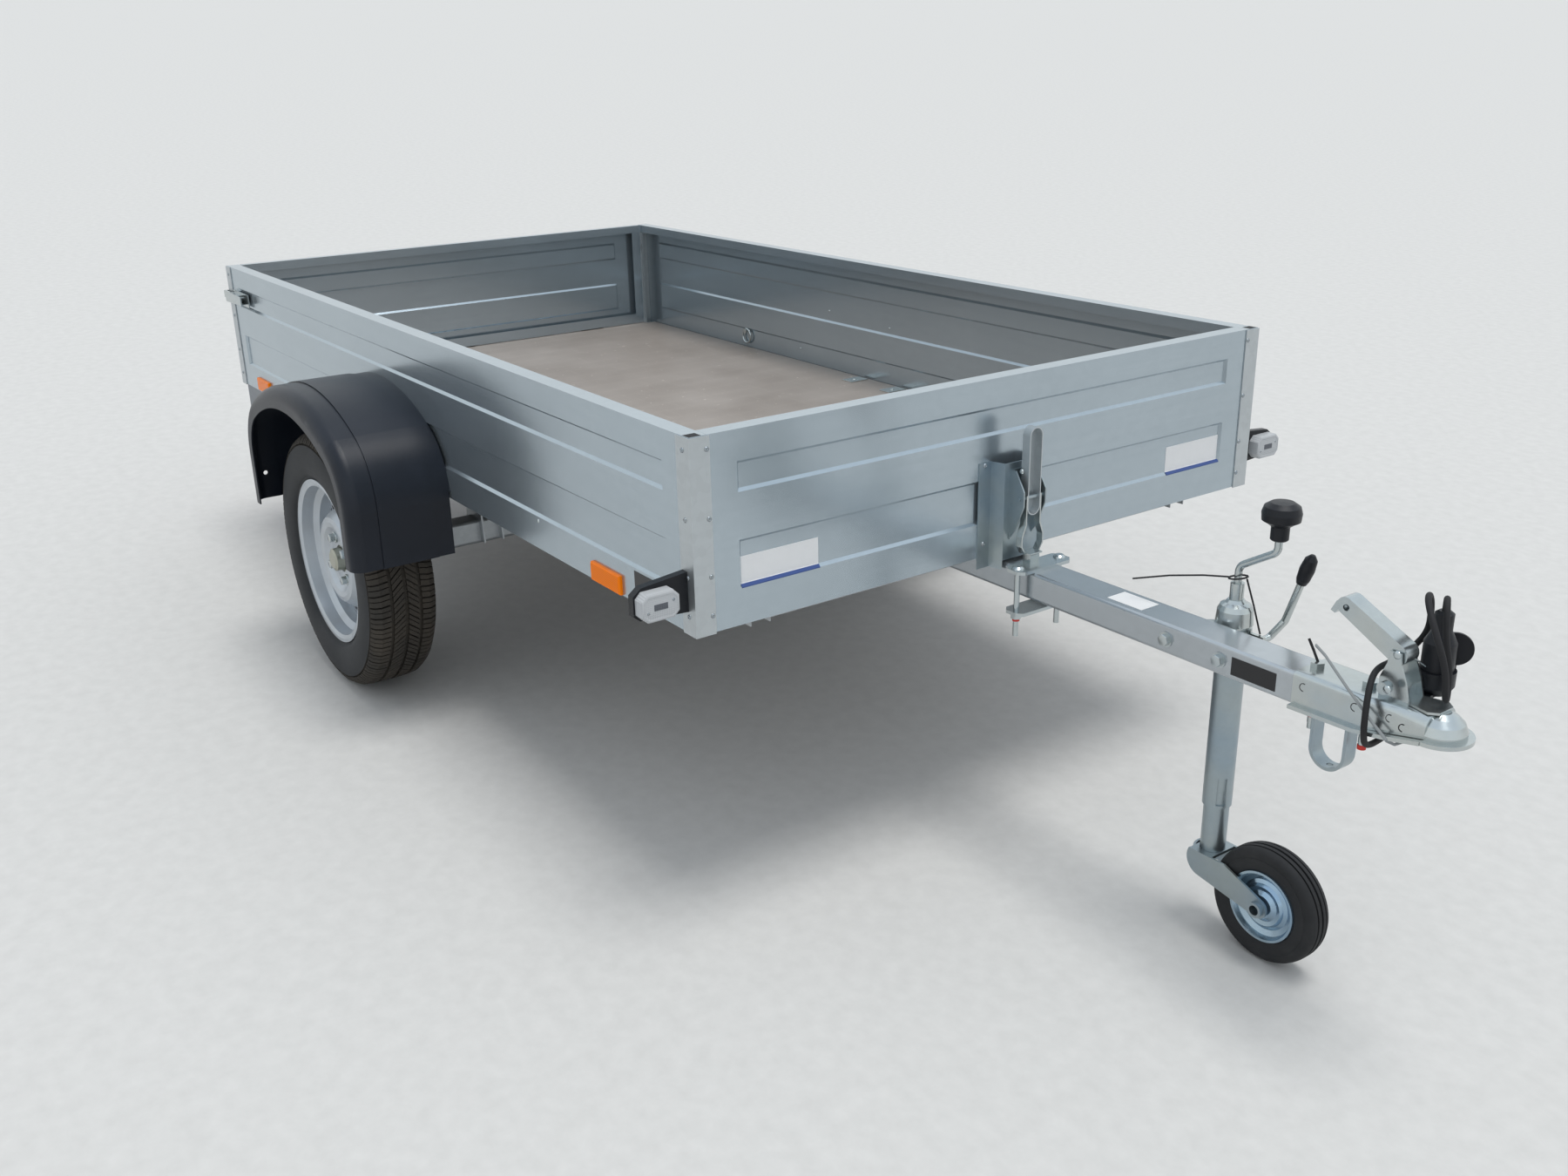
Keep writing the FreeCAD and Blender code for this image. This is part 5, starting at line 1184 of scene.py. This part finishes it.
def studio_world(strength):
    """Even light from above, and a pale surround that the camera and all mirroring surfaces see."""
    world = bpy.data.worlds.new("studio")
    world.use_nodes = True
    tree = world.node_tree
    light = tree.nodes["Background"]
    sky = add_node(tree, "ShaderNodeTexCoord").outputs["Generated"]
    up = add_node(tree, "ShaderNodeSeparateXYZ", Vector=sky).outputs["Z"]
    feed(light, "Color", ramp(tree, up, [(0.0, (0.62, 0.66, 0.70)), (0.5, (0.90, 0.95, 1.0))]))
    feed(light, "Strength", strength)
    stops = [(0.03, (0.735, 0.755, 0.765)), (0.3, (0.93, 0.98, 1.0)), (1.0, (0.74, 0.85, 0.98))]
    surround = add_node(tree, "ShaderNodeBackground", Color=ramp(tree, up, stops))
    rays = add_node(tree, "ShaderNodeLightPath").outputs
    seen = rays["Is Camera Ray"]
    for kind in ("Is Glossy Ray", "Is Transmission Ray"):
        either = add_node(tree, "ShaderNodeMath", operation="MAXIMUM")
        feed(either, 0, seen)
        feed(either, 1, rays[kind])
        seen = either.outputs[0]
    choice = add_node(tree, "ShaderNodeMixShader", Fac=seen)
    feed(choice, 1, light.outputs[0])
    feed(choice, 2, surround.outputs[0])
    feed(tree.nodes["World Output"], "Surface", choice.outputs[0])
    return world


class TRAILER_OT_stage(bpy.types.Operator):
    """Floor, lights and the camera of the photograph"""
    bl_idname = "trailer.stage"
    bl_label = "Stage"

    def execute(self, context):
        sizes = context.scene.trailer_stage
        start()
        bpy.ops.mesh.primitive_plane_add(size=sizes.floor_size, location=(0, 0, 0))
        floor = context.object
        floor.name = "studio_floor"
        paint(floor, "floor")
        context.scene.world = studio_world(sizes.world_light)
        bpy.ops.object.light_add(type="SUN", rotation=KEY_TURN)
        key = context.object
        key.data.energy = sizes.sun_light
        key.data.angle = KEY_ANGLE
        key.data.color = KEY_COLOUR
        bpy.ops.object.camera_add()
        camera = context.object
        camera.matrix_world = camera_matrix()
        camera.data.sensor_width = 36
        camera.data.lens = CAMERA_LENS
        camera.data.clip_start = 0.05
        context.scene.camera = camera
        context.scene.view_settings.view_transform = "Standard"
        return {"FINISHED"}


# Add-on

class TRAILER_PT_panel(bpy.types.Panel):
    """Lists the trailer's pieces"""
    bl_idname = "TRAILER_PT_panel"
    bl_label = "Trailer"
    bl_space_type = "VIEW_3D"
    bl_region_type = "UI"
    bl_category = "Trailer"

    def draw(self, context):
        for operator in OPERATORS:
            self.layout.operator(operator.bl_idname)


OPERATORS = [
    TRAILER_OT_finishes, TRAILER_OT_road_tyres, TRAILER_OT_jockey_tyre, TRAILER_OT_cable,
    TRAILER_OT_wall_fixings, TRAILER_OT_front_lamps, TRAILER_OT_bar_fixings, TRAILER_OT_wheel_fixings,
    TRAILER_OT_labels, TRAILER_OT_ties, TRAILER_OT_stage,
]
GROUPS = {
    "trailer_colours": TrailerColours,
    "trailer_tyres": TrailerTyreSizes,
    "trailer_cable": TrailerCableSizes,
    "trailer_fixings": TrailerFixingSizes,
    "trailer_stage": TrailerStageSizes,
}
CLASSES = [*GROUPS.values(), *OPERATORS, TRAILER_PT_panel]


def register():
    for kind in CLASSES:
        bpy.utils.register_class(kind)
    for name, group in GROUPS.items():
        setattr(bpy.types.Scene, name, bpy.props.PointerProperty(type=group))


def unregister():
    for name in GROUPS:
        delattr(bpy.types.Scene, name)
    for kind in reversed(CLASSES):
        bpy.utils.unregister_class(kind)


def main():
    register()
    for operator in OPERATORS:
        group, name = operator.bl_idname.split(".")
        getattr(getattr(bpy.ops, group), name)()


if __name__ == "__main__":
    main()
